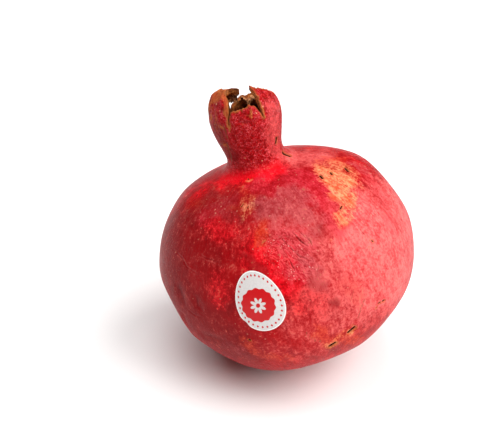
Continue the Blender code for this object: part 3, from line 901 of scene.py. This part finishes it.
def far_line(draw, length):
    """A wandering line of that length in mm on the side that the picture doesn't show."""
    outwards = Vector((0.0, -1.0, 0.0))
    while outwards.y < 0.05 or abs(outwards.z) > 0.86:
        outwards = Vector([draw.gauss(0.0, 1.0) for _ in range(3)]).normalized()
    along = outwards.cross(Vector([draw.gauss(0.0, 1.0) for _ in range(3)])).normalized()
    line = []
    for step in range(4):
        line.append(np.array(FRUIT_TREE.ray_cast(BODY_MIDDLE, outwards)[0]))
        outwards = (outwards + along * (length / 3 / RIND_RADIUS)).normalized()
        along = (along + 0.5 * Vector([draw.gauss(0.0, 1.0) for _ in range(3)])).normalized()
    return np.array(line)


def patch_fade(away, radius):
    return np.clip(1.5 - away / radius, 0.0, 1.0)


def strongest(places, strokes, fade):
    """The strength of the strongest stroke at each place, as each one fades away from its line."""
    mask = np.zeros(len(places))
    for breadth, strength, line in strokes:
        away = distance_to_line(places, line)[0] / MM
        mask = np.maximum(mask, strength * fade(away, breadth))
    return mask


def colour_skin(skin):
    """Marks where the skin has its patches, some of which carry painted sheen, light and shade, and its
    scratches.
    """
    draw = random.Random(FAR_SEED)
    places = points_of(skin)
    outer = marked(skin, "inside") < 0.5
    shift = np.stack([noise_at(places, 3.6, start) for start in (11.0, 37.0, 71.0)], axis=1)
    shifted = places + PATCH_WANDER * shift
    stem_end = swollen(laid(np.array([(0.0, 0.0, height) for _, height in STEM_END[:4]]) * MM), 1.0)
    for name, strokes in PATCHES.items():
        lines = [(radius, strength, line_on_skin(pixels)) for radius, strength, pixels in strokes]
        if name == "dry":
            lines.append((STEM_DRY_RADIUS, 1.0, stem_end))
        count, radii, length = FAR_PATCHES.get(name, (0, None, None))
        for _ in range(count):
            radius, strength = draw.uniform(*radii), draw.uniform(*FAR_STRENGTH)
            lines.append((radius, strength, far_line(draw, length)))
        mark(skin, name, strongest(shifted, lines, patch_fade) * outer)
    lines = [(half_width, strength, line_on_skin(pixels)) for half_width, strength, pixels in SCRATCHES]
    for _ in range(FAR_SCRATCHES):
        half_width, strength = draw.uniform(*FAR_SCRATCH_WIDTH), draw.uniform(0.5, 1.0)
        lines.append((half_width, strength, far_line(draw, draw.uniform(*FAR_SCRATCH_LENGTH))))
    mark(skin, "scratch", strongest(places, lines, bell) * outer)


class Number:
    """A socket that carries a number, so that shader maths can be written as an expression."""

    def __init__(self, finish, socket):
        self.finish = finish
        self.socket = socket

    def __add__(self, other):
        return self.finish.maths("ADD", self, other)

    def __radd__(self, other):
        return self.finish.maths("ADD", other, self)

    def __sub__(self, other):
        return self.finish.maths("SUBTRACT", self, other)

    def __rsub__(self, other):
        return self.finish.maths("SUBTRACT", other, self)

    def __mul__(self, other):
        return self.finish.maths("MULTIPLY", self, other)

    def __rmul__(self, other):
        return self.finish.maths("MULTIPLY", other, self)

    def __truediv__(self, other):
        return self.finish.maths("DIVIDE", self, other)

    def __rtruediv__(self, other):
        return self.finish.maths("DIVIDE", other, self)


class Nodes:
    """A node tree, with one way to add a node and one to feed a socket."""

    def __init__(self, tree):
        self.tree = tree

    def plug(self, socket, value):
        value = value.socket if isinstance(value, Number) else value
        if isinstance(value, bpy.types.NodeSocket):
            self.tree.links.new(value, socket)
        else:
            socket.default_value = value

    def node(self, kind, settings, sockets):
        """Adds a node: its settings are made first, then its sockets get their values or links."""
        made = self.tree.nodes.new("ShaderNode" + kind)
        for name, value in settings.items():
            setattr(made, name, value)
        for name, value in sockets.items():
            self.plug(made.inputs[name], value)
        return made


class Finish(Nodes):
    """A material on the Principled shader, with short ways to add the nodes that feed it."""

    def __init__(self, name):
        self.material = bpy.data.materials.new(name)
        self.material.use_nodes = True
        super().__init__(self.material.node_tree)
        self.shader = self.tree.nodes["Principled BSDF"]

    def set(self, **sockets):
        for name, value in sockets.items():
            self.plug(self.shader.inputs[name.replace("_", " ")], value)

    def maths(self, operation, *values):
        made = self.node("Math", {"operation": operation}, dict(enumerate(values)))
        return Number(self, made.outputs[0])

    def least(self, a, b):
        return self.maths("MINIMUM", a, b)

    def most(self, a, b):
        return self.maths("MAXIMUM", a, b)

    def smooth(self, value, low, high):
        """0 below low and 1 above high, with a smooth way between them."""
        settings = {"interpolation_type": "SMOOTHSTEP"}
        sockets = {"Value": value, "From Min": low, "From Max": high}
        return Number(self, self.node("MapRange", settings, sockets).outputs["Result"])

    def mark(self, name):
        """A number that the piece carries on its points."""
        return Number(self, self.node("Attribute", {"attribute_name": name}, {}).outputs["Fac"])

    def mark_vector(self, name):
        return self.node("Attribute", {"attribute_name": name}, {}).outputs["Vector"]

    def in_mm(self):
        place = self.node("TexCoord", {}, {}).outputs["Object"]
        return self.stretched(place, (1 / MM, 1 / MM, 1 / MM))

    def stretched(self, vector, factors):
        return self.node("VectorMath", {"operation": "MULTIPLY"}, {0: vector, 1: factors}).outputs[0]

    def noise(self, vector, size, detail=3.0, roughness=0.55, distortion=0.0):
        sockets = {"Vector": vector, "Scale": 1 / size, "Detail": detail}
        sockets |= {"Roughness": roughness, "Distortion": distortion}
        return Number(self, self.node("TexNoise", {}, sockets).outputs[0])

    def ridges(self, vector, size, detail=2.0):
        """Winding ridges: 1 along their tops, falling to 0."""
        noise = self.noise(vector, size, detail, 0.5, 0.6)
        return 1 - self.maths("ABSOLUTE", (noise - 0.5) * 5.0)

    def shaken(self, vector, size, amount):
        """The vector, moved about by up to half of that amount."""
        made = self.node("TexNoise", {}, {"Vector": vector, "Scale": 1 / size, "Detail": 2.0})
        sockets = {0: made.outputs["Color"], 1: (amount, amount, amount), 2: vector}
        return self.node("VectorMath", {"operation": "MULTIPLY_ADD"}, sockets).outputs[0]

    def dots(self, vector, size, share, small, large):
        """Scattered dots, in that share of the cells, with their radii in cells."""
        made = self.node("TexVoronoi", {}, {"Vector": vector, "Scale": 1 / size})
        picked = self.node("SeparateColor", {}, {"Color": made.outputs["Color"]})
        pick, size_pick = Number(self, picked.outputs["Red"]), Number(self, picked.outputs["Green"])
        radius = small + size_pick * size_pick * (large - small)
        inside = self.smooth(radius - Number(self, made.outputs["Distance"]), -0.03, 0.05)
        return inside * self.smooth(pick, 1 - share - 0.01, 1 - share + 0.01)

    def blend(self, share, under, over):
        """The colour over laid on the colour under by that share."""
        return self.node("Mix", {"data_type": "RGBA"}, {0: share, 6: under, 7: over}).outputs[2]

    def bump(self, height, distance_mm):
        sockets = {"Height": height, "Distance": distance_mm * MM, "Strength": 1.0}
        self.set(Normal=self.node("Bump", {}, sockets).outputs["Normal"])


def colour(red, green, blue):
    return (red, green, blue, 1.0)


class RindPatterns:
    """The patterns that the rind's colours and its fine relief share, with their sizes in mm."""

    def __init__(self, finish):
        place = finish.in_mm()
        grain = finish.shaken(finish.mark_vector("grain"), 5.0, 2.4)
        self.shaken = finish.shaken(place, 1.3, 0.9)
        turn = {"Vector": self.shaken, "Angle": SLANT}
        slanted = finish.node("VectorRotate", {"rotation_type": "Y_AXIS"}, turn).outputs[0]
        self.broad = finish.noise(place, 24.0, 3.0)
        self.cloudy = finish.noise(place, 6.5, 5.0, 0.65)
        self.mottle = finish.noise(self.shaken, 2.2, 5.0, 0.68)
        self.grit = finish.noise(place, 0.85, 3.0, 0.70)
        self.fibres = finish.noise(finish.stretched(grain, (1.0, 1.0, 0.20)), 1.0, 5.0, 0.70)
        self.streaks = finish.noise(finish.stretched(grain, (1.0, 1.0, 0.25)), 4.0, 5.0, 0.65)
        self.stripes = finish.noise(finish.stretched(grain, (1.0, 1.0, 0.12)), 1.1, 4.0, 0.65)
        self.ridges = finish.ridges(place, 0.95)
        self.lenticels = finish.dots(self.shaken, 2.0, 0.60, 0.07, 0.19)
        self.specks = finish.dots(self.shaken, 1.25, 0.45, 0.08, 0.26)
        self.wrinkles = finish.ridges(finish.stretched(slanted, (1.0, 1.0, 0.12)), 1.7)
        self.chips = finish.dots(finish.stretched(slanted, (1.0, 1.0, 0.45)), 0.62, 0.5, 0.06, 0.34)
        mixed = self.grit * 0.22 + self.mottle * 0.30 + self.fibres * 0.28 + self.cloudy * 0.20
        self.fine = finish.smooth(mixed, 0.40, 0.60)
        self.ragged = (self.cloudy - 0.5) * 0.9 + (self.mottle - 0.5) * 1.5 + (self.grit - 0.5) * 1.4


def patch(finish, patterns, name, low, high, fibrous=0.5):
    """A patch's share of the colour, with a ragged edge."""
    wander = patterns.ragged + (patterns.fibres - 0.5) * fibrous
    return finish.smooth(finish.mark(name) + wander * 0.75, low, high)


class Tones:
    """A dark and a pale colour, over which further pairs are laid before the skin's grain mixes the two."""

    def __init__(self, finish, dark, pale):
        self.finish, self.dark, self.pale = finish, dark, pale

    def lay(self, share, dark, pale):
        self.dark = self.finish.blend(share, self.dark, dark)
        self.pale = self.finish.blend(share, self.pale, pale)

    def mixed(self, grain):
        return self.finish.blend(grain, self.dark, self.pale)


def rind_red(finish, patterns):
    """The skin's reds, with its grain, patches and lenticels; some patches carry painted sheen, light and
    shade.
    """
    tones = Tones(finish, *(colour(*tone) for tone in FIRST_TONES))
    for name, low, high, share, dark, pale in PATTERN_TONES:
        shown = finish.smooth(getattr(patterns, name), low, high)
        tones.lay(shown * share, colour(*dark), colour(*pale))
    patches = {}
    for name, (low, high, fibrous, share, dark, pale) in PATCH_TONES.items():
        patches[name] = patch(finish, patterns, name, low, high, fibrous)
        tones.lay(patches[name] * share, colour(*dark), colour(*pale))
    deep, pale_skin_and_sheen, gold = patches["deep"], patches["pale_skin_and_sheen"], patches["gold"]
    red = tones.mixed(patterns.fine)
    orange = finish.smooth(patterns.streaks, 0.50, 0.62) * gold
    red = finish.blend(orange * 0.7, red, colour(0.60, 0.060, 0.012))
    red = finish.blend(patterns.lenticels * (0.40 + deep * 0.35), red, colour(0.68, 0.26, 0.18))
    red = finish.blend(patterns.specks * (0.14 + deep * 0.4 + pale_skin_and_sheen * 0.12), red, colour(0.13, 0.008, 0.010))
    flecks = finish.smooth(finish.mark("flecks") + patterns.ragged * 0.7, 0.15, 1.1)
    lines = finish.smooth(patterns.wrinkles, 0.66, 0.95)
    red = finish.blend(lines * flecks * 0.35, red, colour(0.16, 0.002, 0.004))
    pale_lines = finish.smooth(patterns.wrinkles, 0.25, 0.55) * (1 - lines)
    red = finish.blend(pale_lines * flecks * 0.30, red, colour(0.74, 0.16, 0.16))
    return finish.blend(patterns.chips * flecks * 0.7, red, colour(0.80, 0.34, 0.31))


def neck_red(finish, patterns, under):
    """Deep red on the neck, with thin winding ridges whose tops carry a painted highlight, a painted sheen on
    its right side, and some tan flecks.
    """
    grain = finish.smooth(patterns.grit * 0.6 + patterns.mottle * 0.4, 0.38, 0.62)
    valley = finish.blend(grain, colour(0.19, 0.0004, 0.001), colour(0.44, 0.001, 0.004))
    # Painted highlight: the tops of the winding ridges are painted a paler pink.
    ridge_highlight = finish.smooth(patterns.ridges, 0.84, 0.98) * finish.smooth(patterns.mottle, 0.36, 0.56)
    red = finish.blend(ridge_highlight * 0.9, valley, colour(0.86, 0.120, 0.145))
    red = finish.blend(finish.smooth(patterns.stripes, 0.58, 0.70) * 0.30, red, colour(0.46, 0.12, 0.05))
    tan_flecks = finish.dots(patterns.shaken, 2.2, 0.40, 0.05, 0.18)
    red = finish.blend(tan_flecks * 0.75, red, colour(0.72, 0.40, 0.22))
    red = finish.blend(patch(finish, patterns, "deep", 0.0, 1.0) * 0.7, red, colour(0.15, 0.002, 0.003))
    # Painted sheen on the neck's right side.
    red = finish.blend(patch(finish, patterns, "pale_skin_and_sheen", 0.1, 1.2) * 0.45, red, colour(0.86, 0.120, 0.120))
    return finish.blend(finish.mark("neck") * 0.95, under, red)


def scarred(finish, patterns, under):
    """Creases and splits darkened with painted shade, the sharp creases' lips with a painted highlight, and
    scratches.
    """
    # Painted shade along the creases, and a painted highlight on the sharp ones' lips.
    crease = finish.smooth(finish.mark("crease"), 0.30, 0.90)
    red = finish.blend(crease * 0.65, under, colour(0.10, 0.003, 0.006))
    lip = finish.mark("lip") * finish.smooth(patterns.mottle, 0.42, 0.56)
    red = finish.blend(lip * 0.20, red, colour(0.78, 0.20, 0.18))
    halo = finish.smooth(finish.mark("halo") + patterns.ragged * 0.6, 0.25, 0.95)
    red = finish.blend(halo * 0.50, red, colour(0.58, 0.20, 0.06))
    scratch = finish.smooth(finish.mark("scratch") + patterns.ragged * 0.8, 0.25, 0.75)
    red = finish.blend(scratch * 0.80, red, colour(0.18, 0.050, 0.022))
    # Painted shade, near black, inside the splits.
    return finish.blend(finish.smooth(finish.mark("split"), 0.22, 0.50), red, colour(0.022, 0.008, 0.005))


def dried(finish, patterns):
    """Where the calyx is dry: at the sepals' edges, in its dry patches and all over its inside."""
    edge = 1 - finish.smooth(finish.mark("edge_way") + patterns.ragged * 1.6, 0.35, 1.05)
    edge = edge * finish.smooth(finish.mark("rise"), 0.7, 1.0)
    patches = finish.smooth(finish.mark("dry") + patterns.ragged * 1.1, 0.25, 1.0) * 0.92
    return finish.most(finish.most(edge, patches), finish.mark("inside"))


def dry_brown(finish, patterns):
    """Papery browns: striped along the sepals, orange on the inside near their ends with painted light added
    there, and near-black painted shade down in the cup.
    """
    stripes = finish.smooth(patterns.stripes * 0.5 + patterns.mottle * 0.3 + patterns.grit * 0.2, 0.42, 0.58)
    brown = finish.blend(stripes, colour(0.20, 0.034, 0.010), colour(0.62, 0.190, 0.055))
    brown = finish.blend(finish.smooth(patterns.cloudy, 0.45, 0.62) * 0.5, brown, colour(0.52, 0.060, 0.020))
    inside, rise = finish.mark("inside"), finish.mark("rise")
    # Painted light: the insides near the sepals' ends are made a brighter orange where they face away from
    # the lamps.
    tips_with_painted_light = inside * finish.smooth(rise, 1.1, 1.7)
    orange = finish.blend(stripes, colour(0.54, 0.12, 0.02), colour(0.94, 0.38, 0.10))
    brown = finish.blend(tips_with_painted_light * 0.75, brown, orange)
    # Painted shade: near black down in the cup, where its walls shade it.
    deep = inside * (1 - finish.smooth(rise, 0.75, 1.4))
    brown = finish.blend(deep * 0.95, brown, colour(0.022, 0.006, 0.005))
    rim = (1 - finish.smooth(finish.mark("edge_way"), 0.0, 0.5)) * finish.smooth(patterns.mottle, 0.45, 0.60)
    return finish.blend(rim * 0.6, brown, colour(0.10, 0.035, 0.018))


def rind_finish():
    """Red leathery skin with its patches and scars, going brown and papery round the calyx."""
    finish = Finish("rind")
    patterns = RindPatterns(finish)
    red = neck_red(finish, patterns, rind_red(finish, patterns))
    dry = dried(finish, patterns)
    red = finish.blend(dry, red, dry_brown(finish, patterns))
    finish.set(Base_Color=scarred(finish, patterns, red), Specular_IOR_Level=0.10, Specular_Tint=SHEEN_TINT)
    neck = finish.mark("neck")
    shine = 0.42 + (patterns.cloudy - 0.5) * 0.25 + (patterns.grit - 0.5) * 0.40 + neck * 0.06 + dry * 0.30
    finish.set(Roughness=finish.least(shine, 0.9))
    relief = patterns.mottle * 0.8 + patterns.grit * 0.9 + patterns.fibres * 0.7 + patterns.lenticels * 0.2
    relief = relief + patterns.ridges * neck * 0.8 + patterns.stripes * dry * 2.2
    finish.bump(relief, 0.16)
    return finish.material


def withered_finish(name, dark, pale):
    """Dry brown threads and scraps, paler in places."""
    finish = Finish(name)
    place = finish.in_mm()
    tone = finish.noise(place, 1.0, 5.0, 0.65)
    finish.set(Base_Color=finish.blend(finish.smooth(tone, 0.38, 0.64), dark, pale), Specular_IOR_Level=0.3)
    finish.set(Roughness=0.75 + (tone - 0.5) * 0.3)
    finish.bump(finish.noise(place, 0.35, 3.0), 0.12)
    return finish.material


def label_finish():
    """White glossy paper with a printed red disc and a ring of small dots, on its own flat map in mm."""
    finish = Finish("label")
    flat = finish.node("UVMap", {"uv_map": "print"}, {}).outputs["UV"]
    split = finish.node("SeparateXYZ", {}, {"Vector": flat})
    x, y = Number(finish, split.outputs["X"]), Number(finish, split.outputs["Y"])
    place = finish.in_mm()
    worn = finish.noise(place, 0.5, 3.0, 0.6)

    narrow = 1 - y * (LABEL_NARROWING / (0.5 * LABEL_LENGTH / MM))
    across, up = x / (narrow * (0.5 * LABEL_WIDTH / MM)), y / (0.5 * LABEL_LENGTH / MM)
    rim = finish.maths("SQRT", across * across + up * up)
    rim_turn = finish.maths("ARCTAN2", up, across)

    right, above = x - DISC_PLACE[0], y - DISC_PLACE[1]
    radius = finish.maths("SQRT", right * right + above * above)
    turn = finish.maths("ARCTAN2", above, right)
    scallops = finish.maths("COSINE", turn * SCALLOPS) * SCALLOP_DEPTH
    disc = 1 - finish.smooth(radius - scallops, DISC_RADIUS, DISC_RADIUS + PRINT_EDGE)
    petals = finish.maths("COSINE", turn * (FLOWER_PETALS / 2))
    petals = finish.maths("ABSOLUTE", petals) * FLOWER_PETAL_LENGTH
    flower = 1 - finish.smooth(radius - petals, FLOWER_RADIUS, FLOWER_RADIUS + PRINT_EDGE)
    middle = 1 - finish.smooth(radius, FLOWER_MIDDLE, FLOWER_MIDDLE + PRINT_EDGE)
    emblem = disc * (1 - flower * (1 - middle))
    cell = finish.maths("FRACT", rim_turn * (RIM_DOTS / (2 * math.pi)) + 0.5) - 0.5
    dot_across = finish.maths("ABSOLUTE", cell * rim * (2 * math.pi * RIM_DOTS_RADIUS / RIM_DOTS))
    dot_up = finish.maths("ABSOLUTE", (rim - RIM_DOTS_SHARE) * RIM_DOTS_RADIUS)
    dots = 1 - finish.smooth(dot_across + dot_up, 0.42, 0.52)
    printed = finish.most(emblem, dots) * (0.99 + finish.smooth(worn, 0.2, 0.5) * 0.01)

    paper = finish.blend(finish.smooth(worn, 0.3, 0.8), colour(0.62, 0.59, 0.58), colour(0.70, 0.67, 0.66))
    # Painted highlight: the paper is paler along the label's edge.
    paper = finish.blend(finish.smooth(rim, 0.93, 0.96), paper, colour(0.86, 0.86, 0.84))
    print_red = finish.blend(printed, paper, colour(0.54, 0.003, 0.006))
    finish.set(Base_Color=print_red, Specular_IOR_Level=0.25, Roughness=0.36 + (worn - 0.5) * 0.2)
    finish.bump(finish.noise(place, 0.4, 2.0), 0.02)
    return finish.material


def make_stamens():
    """Dry stamens in a crowd round the inside of the cup. One is modelled, then copied, bent and placed."""
    sizes = {"vertices": STAMEN_SIDES, "radius": STAMEN_RADIUS, "depth": STAMEN_LENGTH}
    first = added(bpy.ops.mesh.primitive_cylinder_add, "stamens", end_fill_type="TRIFAN", **sizes)
    draw = random.Random(STAMEN_SEED)
    for share in STAMEN_CUTS:
        edit(first, "FACE")
        bpy.ops.mesh.bisect(plane_co=(0, 0, share * STAMEN_LENGTH), plane_no=(0, 0, 1))
        done()
    plain = points_of(first)
    up = plain[:, 2] / STAMEN_LENGTH + 0.5
    thread = plain[:, :2] / STAMEN_RADIUS
    swelling = bell(up - 0.86, 0.10)
    copies = []
    for number in range(STAMENS):
        turn = 2 * math.pi * (number + draw.uniform(-0.4, 0.4)) / STAMENS
        length = STAMEN_LENGTH * draw.uniform(0.6, 1.15)
        foot = STAMEN_FOOT_HEIGHT + draw.uniform(-1.5, 2.5) * MM
        lean, sway = draw.uniform(0.5, 1.0), draw.uniform(-0.35, 0.35)
        thick = STAMEN_RADIUS + (ANTHER_RADIUS - STAMEN_RADIUS) * swelling * draw.uniform(0.7, 1.1)
        inwards = length * lean * up**1.4 - 0.4 * MM
        upwards = length * (up - 0.35 * up**2 * lean)
        radius = STAMEN_FOOT_RADIUS - inwards
        turns = turn + sway * up**2 + thread[:, 0] * thick / np.maximum(radius, 2 * MM)
        radius, height = radius + 0.6 * thread[:, 1] * thick, foot + upwards - 0.5 * thread[:, 1] * thick
        copy = first.copy()
        copy.data = first.data.copy()
        bpy.context.scene.collection.objects.link(copy)
        move_points(copy, fruit_points(turns, radius, height))
        copies.append(copy)
    bpy.data.objects.remove(first)
    stamens = joined(copies, "stamens")
    edit(stamens, "VERT")
    bpy.ops.mesh.normals_make_consistent(inside=False)
    done()
    bpy.ops.object.shade_smooth()
    return stamens


def make_petals():
    """Crumpled scraps of the withered petals, which cling to the inside of the calyx."""
    scraps = []
    for number, (sepal, across, rise, depth, crumple) in enumerate(WITHERED):
        cuts = {"x_subdivisions": PETAL_CUTS, "y_subdivisions": PETAL_CUTS}
        scrap = added(bpy.ops.mesh.primitive_grid_add, "scrap", size=1.0, **cuts)
        flat = points_of(scrap)
        start = 7.0 * number
        drift = np.stack([noise_at(flat * MM, 0.23, start + place) for place in (0.0, 3.0)], axis=1)
        share = flat[:, :2] + 0.16 * drift + 0.5
        across_at = across[0] + (across[1] - across[0]) * share[:, 0]
        rise_at = rise[0] + (rise[1] - rise[0]) * share[:, 1]
        folds = np.abs(noise_at(flat * MM, 0.30, start + 5.0)) * 1.6
        folds = folds + 0.6 * noise_at(flat * MM, 0.12, start + 8.0)
        clings = np.clip(1.4 - 2.4 * np.abs(flat[:, 0]), 0.0, 1.0)
        deeper = (depth + crumple * folds * clings) * MM
        _, places = sepal_points(np.full(len(flat), sepal), across_at, rise_at, 1.0, deeper)
        move_points(scrap, places)
        scraps.append(scrap)
    petals = joined(scraps, "withered_petals")
    apply(petals, "SOLIDIFY", {"thickness": PETAL_THICKNESS, "offset": 0.0})
    bpy.ops.object.shade_smooth()
    return petals


def label_place():
    """Where the label is laid from: outside the rind and facing outwards, with its long way up the fruit."""
    outwards = direction(LABEL_TURN, LABEL_RISE)
    facing = outwards.to_track_quat("Z", "Y").to_matrix().to_4x4()
    place = Matrix.Translation(BODY_MIDDLE + outwards * LABEL_LAID_FROM)
    return place @ facing @ Matrix.Rotation(LABEL_ROLL, 4, "Z")


def make_label(skin):
    """An egg-shaped paper label that follows the rind, with a small fold in its lower left edge."""
    sizes = {"vertices": LABEL_SIDES, "radius": 1.0}
    label = added(bpy.ops.mesh.primitive_circle_add, "label", fill_type="NGON", **sizes)
    edit(label, "FACE")
    for _ in range(LABEL_RINGS):
        bpy.ops.mesh.inset(thickness=1.0 / (LABEL_RINGS + 1.5))
    bpy.ops.mesh.poke()
    done()
    flat = points_of(label)
    flat[:, 0] *= 0.5 * LABEL_WIDTH * (1 - LABEL_NARROWING * flat[:, 1])
    flat[:, 1] *= 0.5 * LABEL_LENGTH
    near_fold = bell(np.linalg.norm(flat[:, :2] - FOLD_PLACE, axis=1), FOLD_REACH)
    flat[:, :2] -= 0.10 * near_fold[:, None] * FOLD_PLACE
    corners = [loop.vertex_index for loop in label.data.loops]
    for old in list(label.data.uv_layers):
        label.data.uv_layers.remove(old)
    printed = label.data.uv_layers.new(name="print")
    printed.data.foreach_set("uv", (flat[corners][:, :2] / MM).astype(np.float32).ravel())
    move_points(label, flat)
    label.data.transform(label_place())
    inwards = -np.array(direction(LABEL_TURN, LABEL_RISE))
    tree = BVHTree.FromObject(skin, bpy.context.evaluated_depsgraph_get())
    places = points_of(label)
    for number, place in enumerate(places):
        hit = tree.ray_cast(Vector(place), Vector(inwards))[0]
        places[number] = np.array(hit) - inwards * PAPER_GAP
    places += -inwards * (FOLD_RISE * near_fold)[:, None]
    move_points(label, places)
    edit(label, "VERT")
    bpy.ops.mesh.vertices_smooth(factor=0.5, repeat=3)
    bpy.ops.mesh.normals_make_consistent(inside=False)
    done()
    apply(label, "SOLIDIFY", {"thickness": PAPER_THICKNESS, "offset": 1.0})
    bpy.ops.object.shade_smooth_by_angle(angle=math.radians(50))
    return label


def make_floor():
    floor = added(bpy.ops.mesh.primitive_plane_add, "floor", size=FLOOR_SIZE)
    finish = Finish("floor")
    finish.set(Base_Color=colour(*FLOOR_TINT), Roughness=0.8)
    floor.data.materials.append(finish.material)


def light_stage():
    """Soft studio light: broad lamps from the right, from above and from the front, and a dim white room."""
    for name, (strength, tint, shines_from, breadth) in LAMPS.items():
        data = bpy.data.lights.new(name, "SUN")
        data.energy = strength
        data.color = tint
        data.angle = math.radians(breadth)
        linked(name, data).rotation_euler = direction(*shines_from).to_track_quat("Z", "Y").to_euler()
    world = bpy.data.worlds.new("room")
    bpy.context.scene.world = world
    world.use_nodes = True
    world.node_tree.nodes.remove(world.node_tree.nodes["Background"])
    nodes = Nodes(world.node_tree)
    white = colour(1.0, 1.0, 1.0)
    room = nodes.node("Background", {}, {"Color": white, "Strength": ROOM_STRENGTH})
    backdrop = nodes.node("Background", {}, {"Color": white, "Strength": BACKDROP_STRENGTH})
    seen = nodes.node("LightPath", {}, {}).outputs["Is Camera Ray"]
    shown = nodes.node("MixShader", {}, {0: seen, 1: room.outputs[0], 2: backdrop.outputs[0]})
    nodes.plug(world.node_tree.nodes["World Output"].inputs["Surface"], shown.outputs[0])


def make_camera():
    data = bpy.data.cameras.new("camera")
    data.lens = CAMERA_LENS
    data.sensor_width = CAMERA_SENSOR
    data.clip_start = 0.01
    data.clip_end = 50.0
    camera = linked("camera", data)
    camera.location = CAMERA_PLACE
    camera.rotation_euler = (CAMERA_TILT, 0.0, 0.0)
    bpy.context.scene.camera = camera
    bpy.context.scene.view_settings.view_transform = "Standard"


def finished(piece, material):
    """Gives a piece its material and its place in the record."""
    piece.data.materials.clear()
    piece.data.materials.append(material)
    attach(piece, "root")


def main():
    make_camera()
    skin = make_skin()
    soften_rims(skin)
    crease_skin(skin)
    colour_skin(skin)
    only(skin)
    bpy.ops.object.shade_smooth()
    label = make_label(skin)
    finished(skin, rind_finish())
    stamen_brown = withered_finish("stamen", colour(0.08, 0.028, 0.012), colour(0.34, 0.17, 0.08))
    finished(make_stamens(), stamen_brown)
    petal_brown = withered_finish("petal", colour(0.20, 0.055, 0.020), colour(0.76, 0.36, 0.15))
    finished(make_petals(), petal_brown)
    finished(label, label_finish())
    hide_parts("pomegranate")
    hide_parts("label")
    make_floor()
    light_stage()


main()
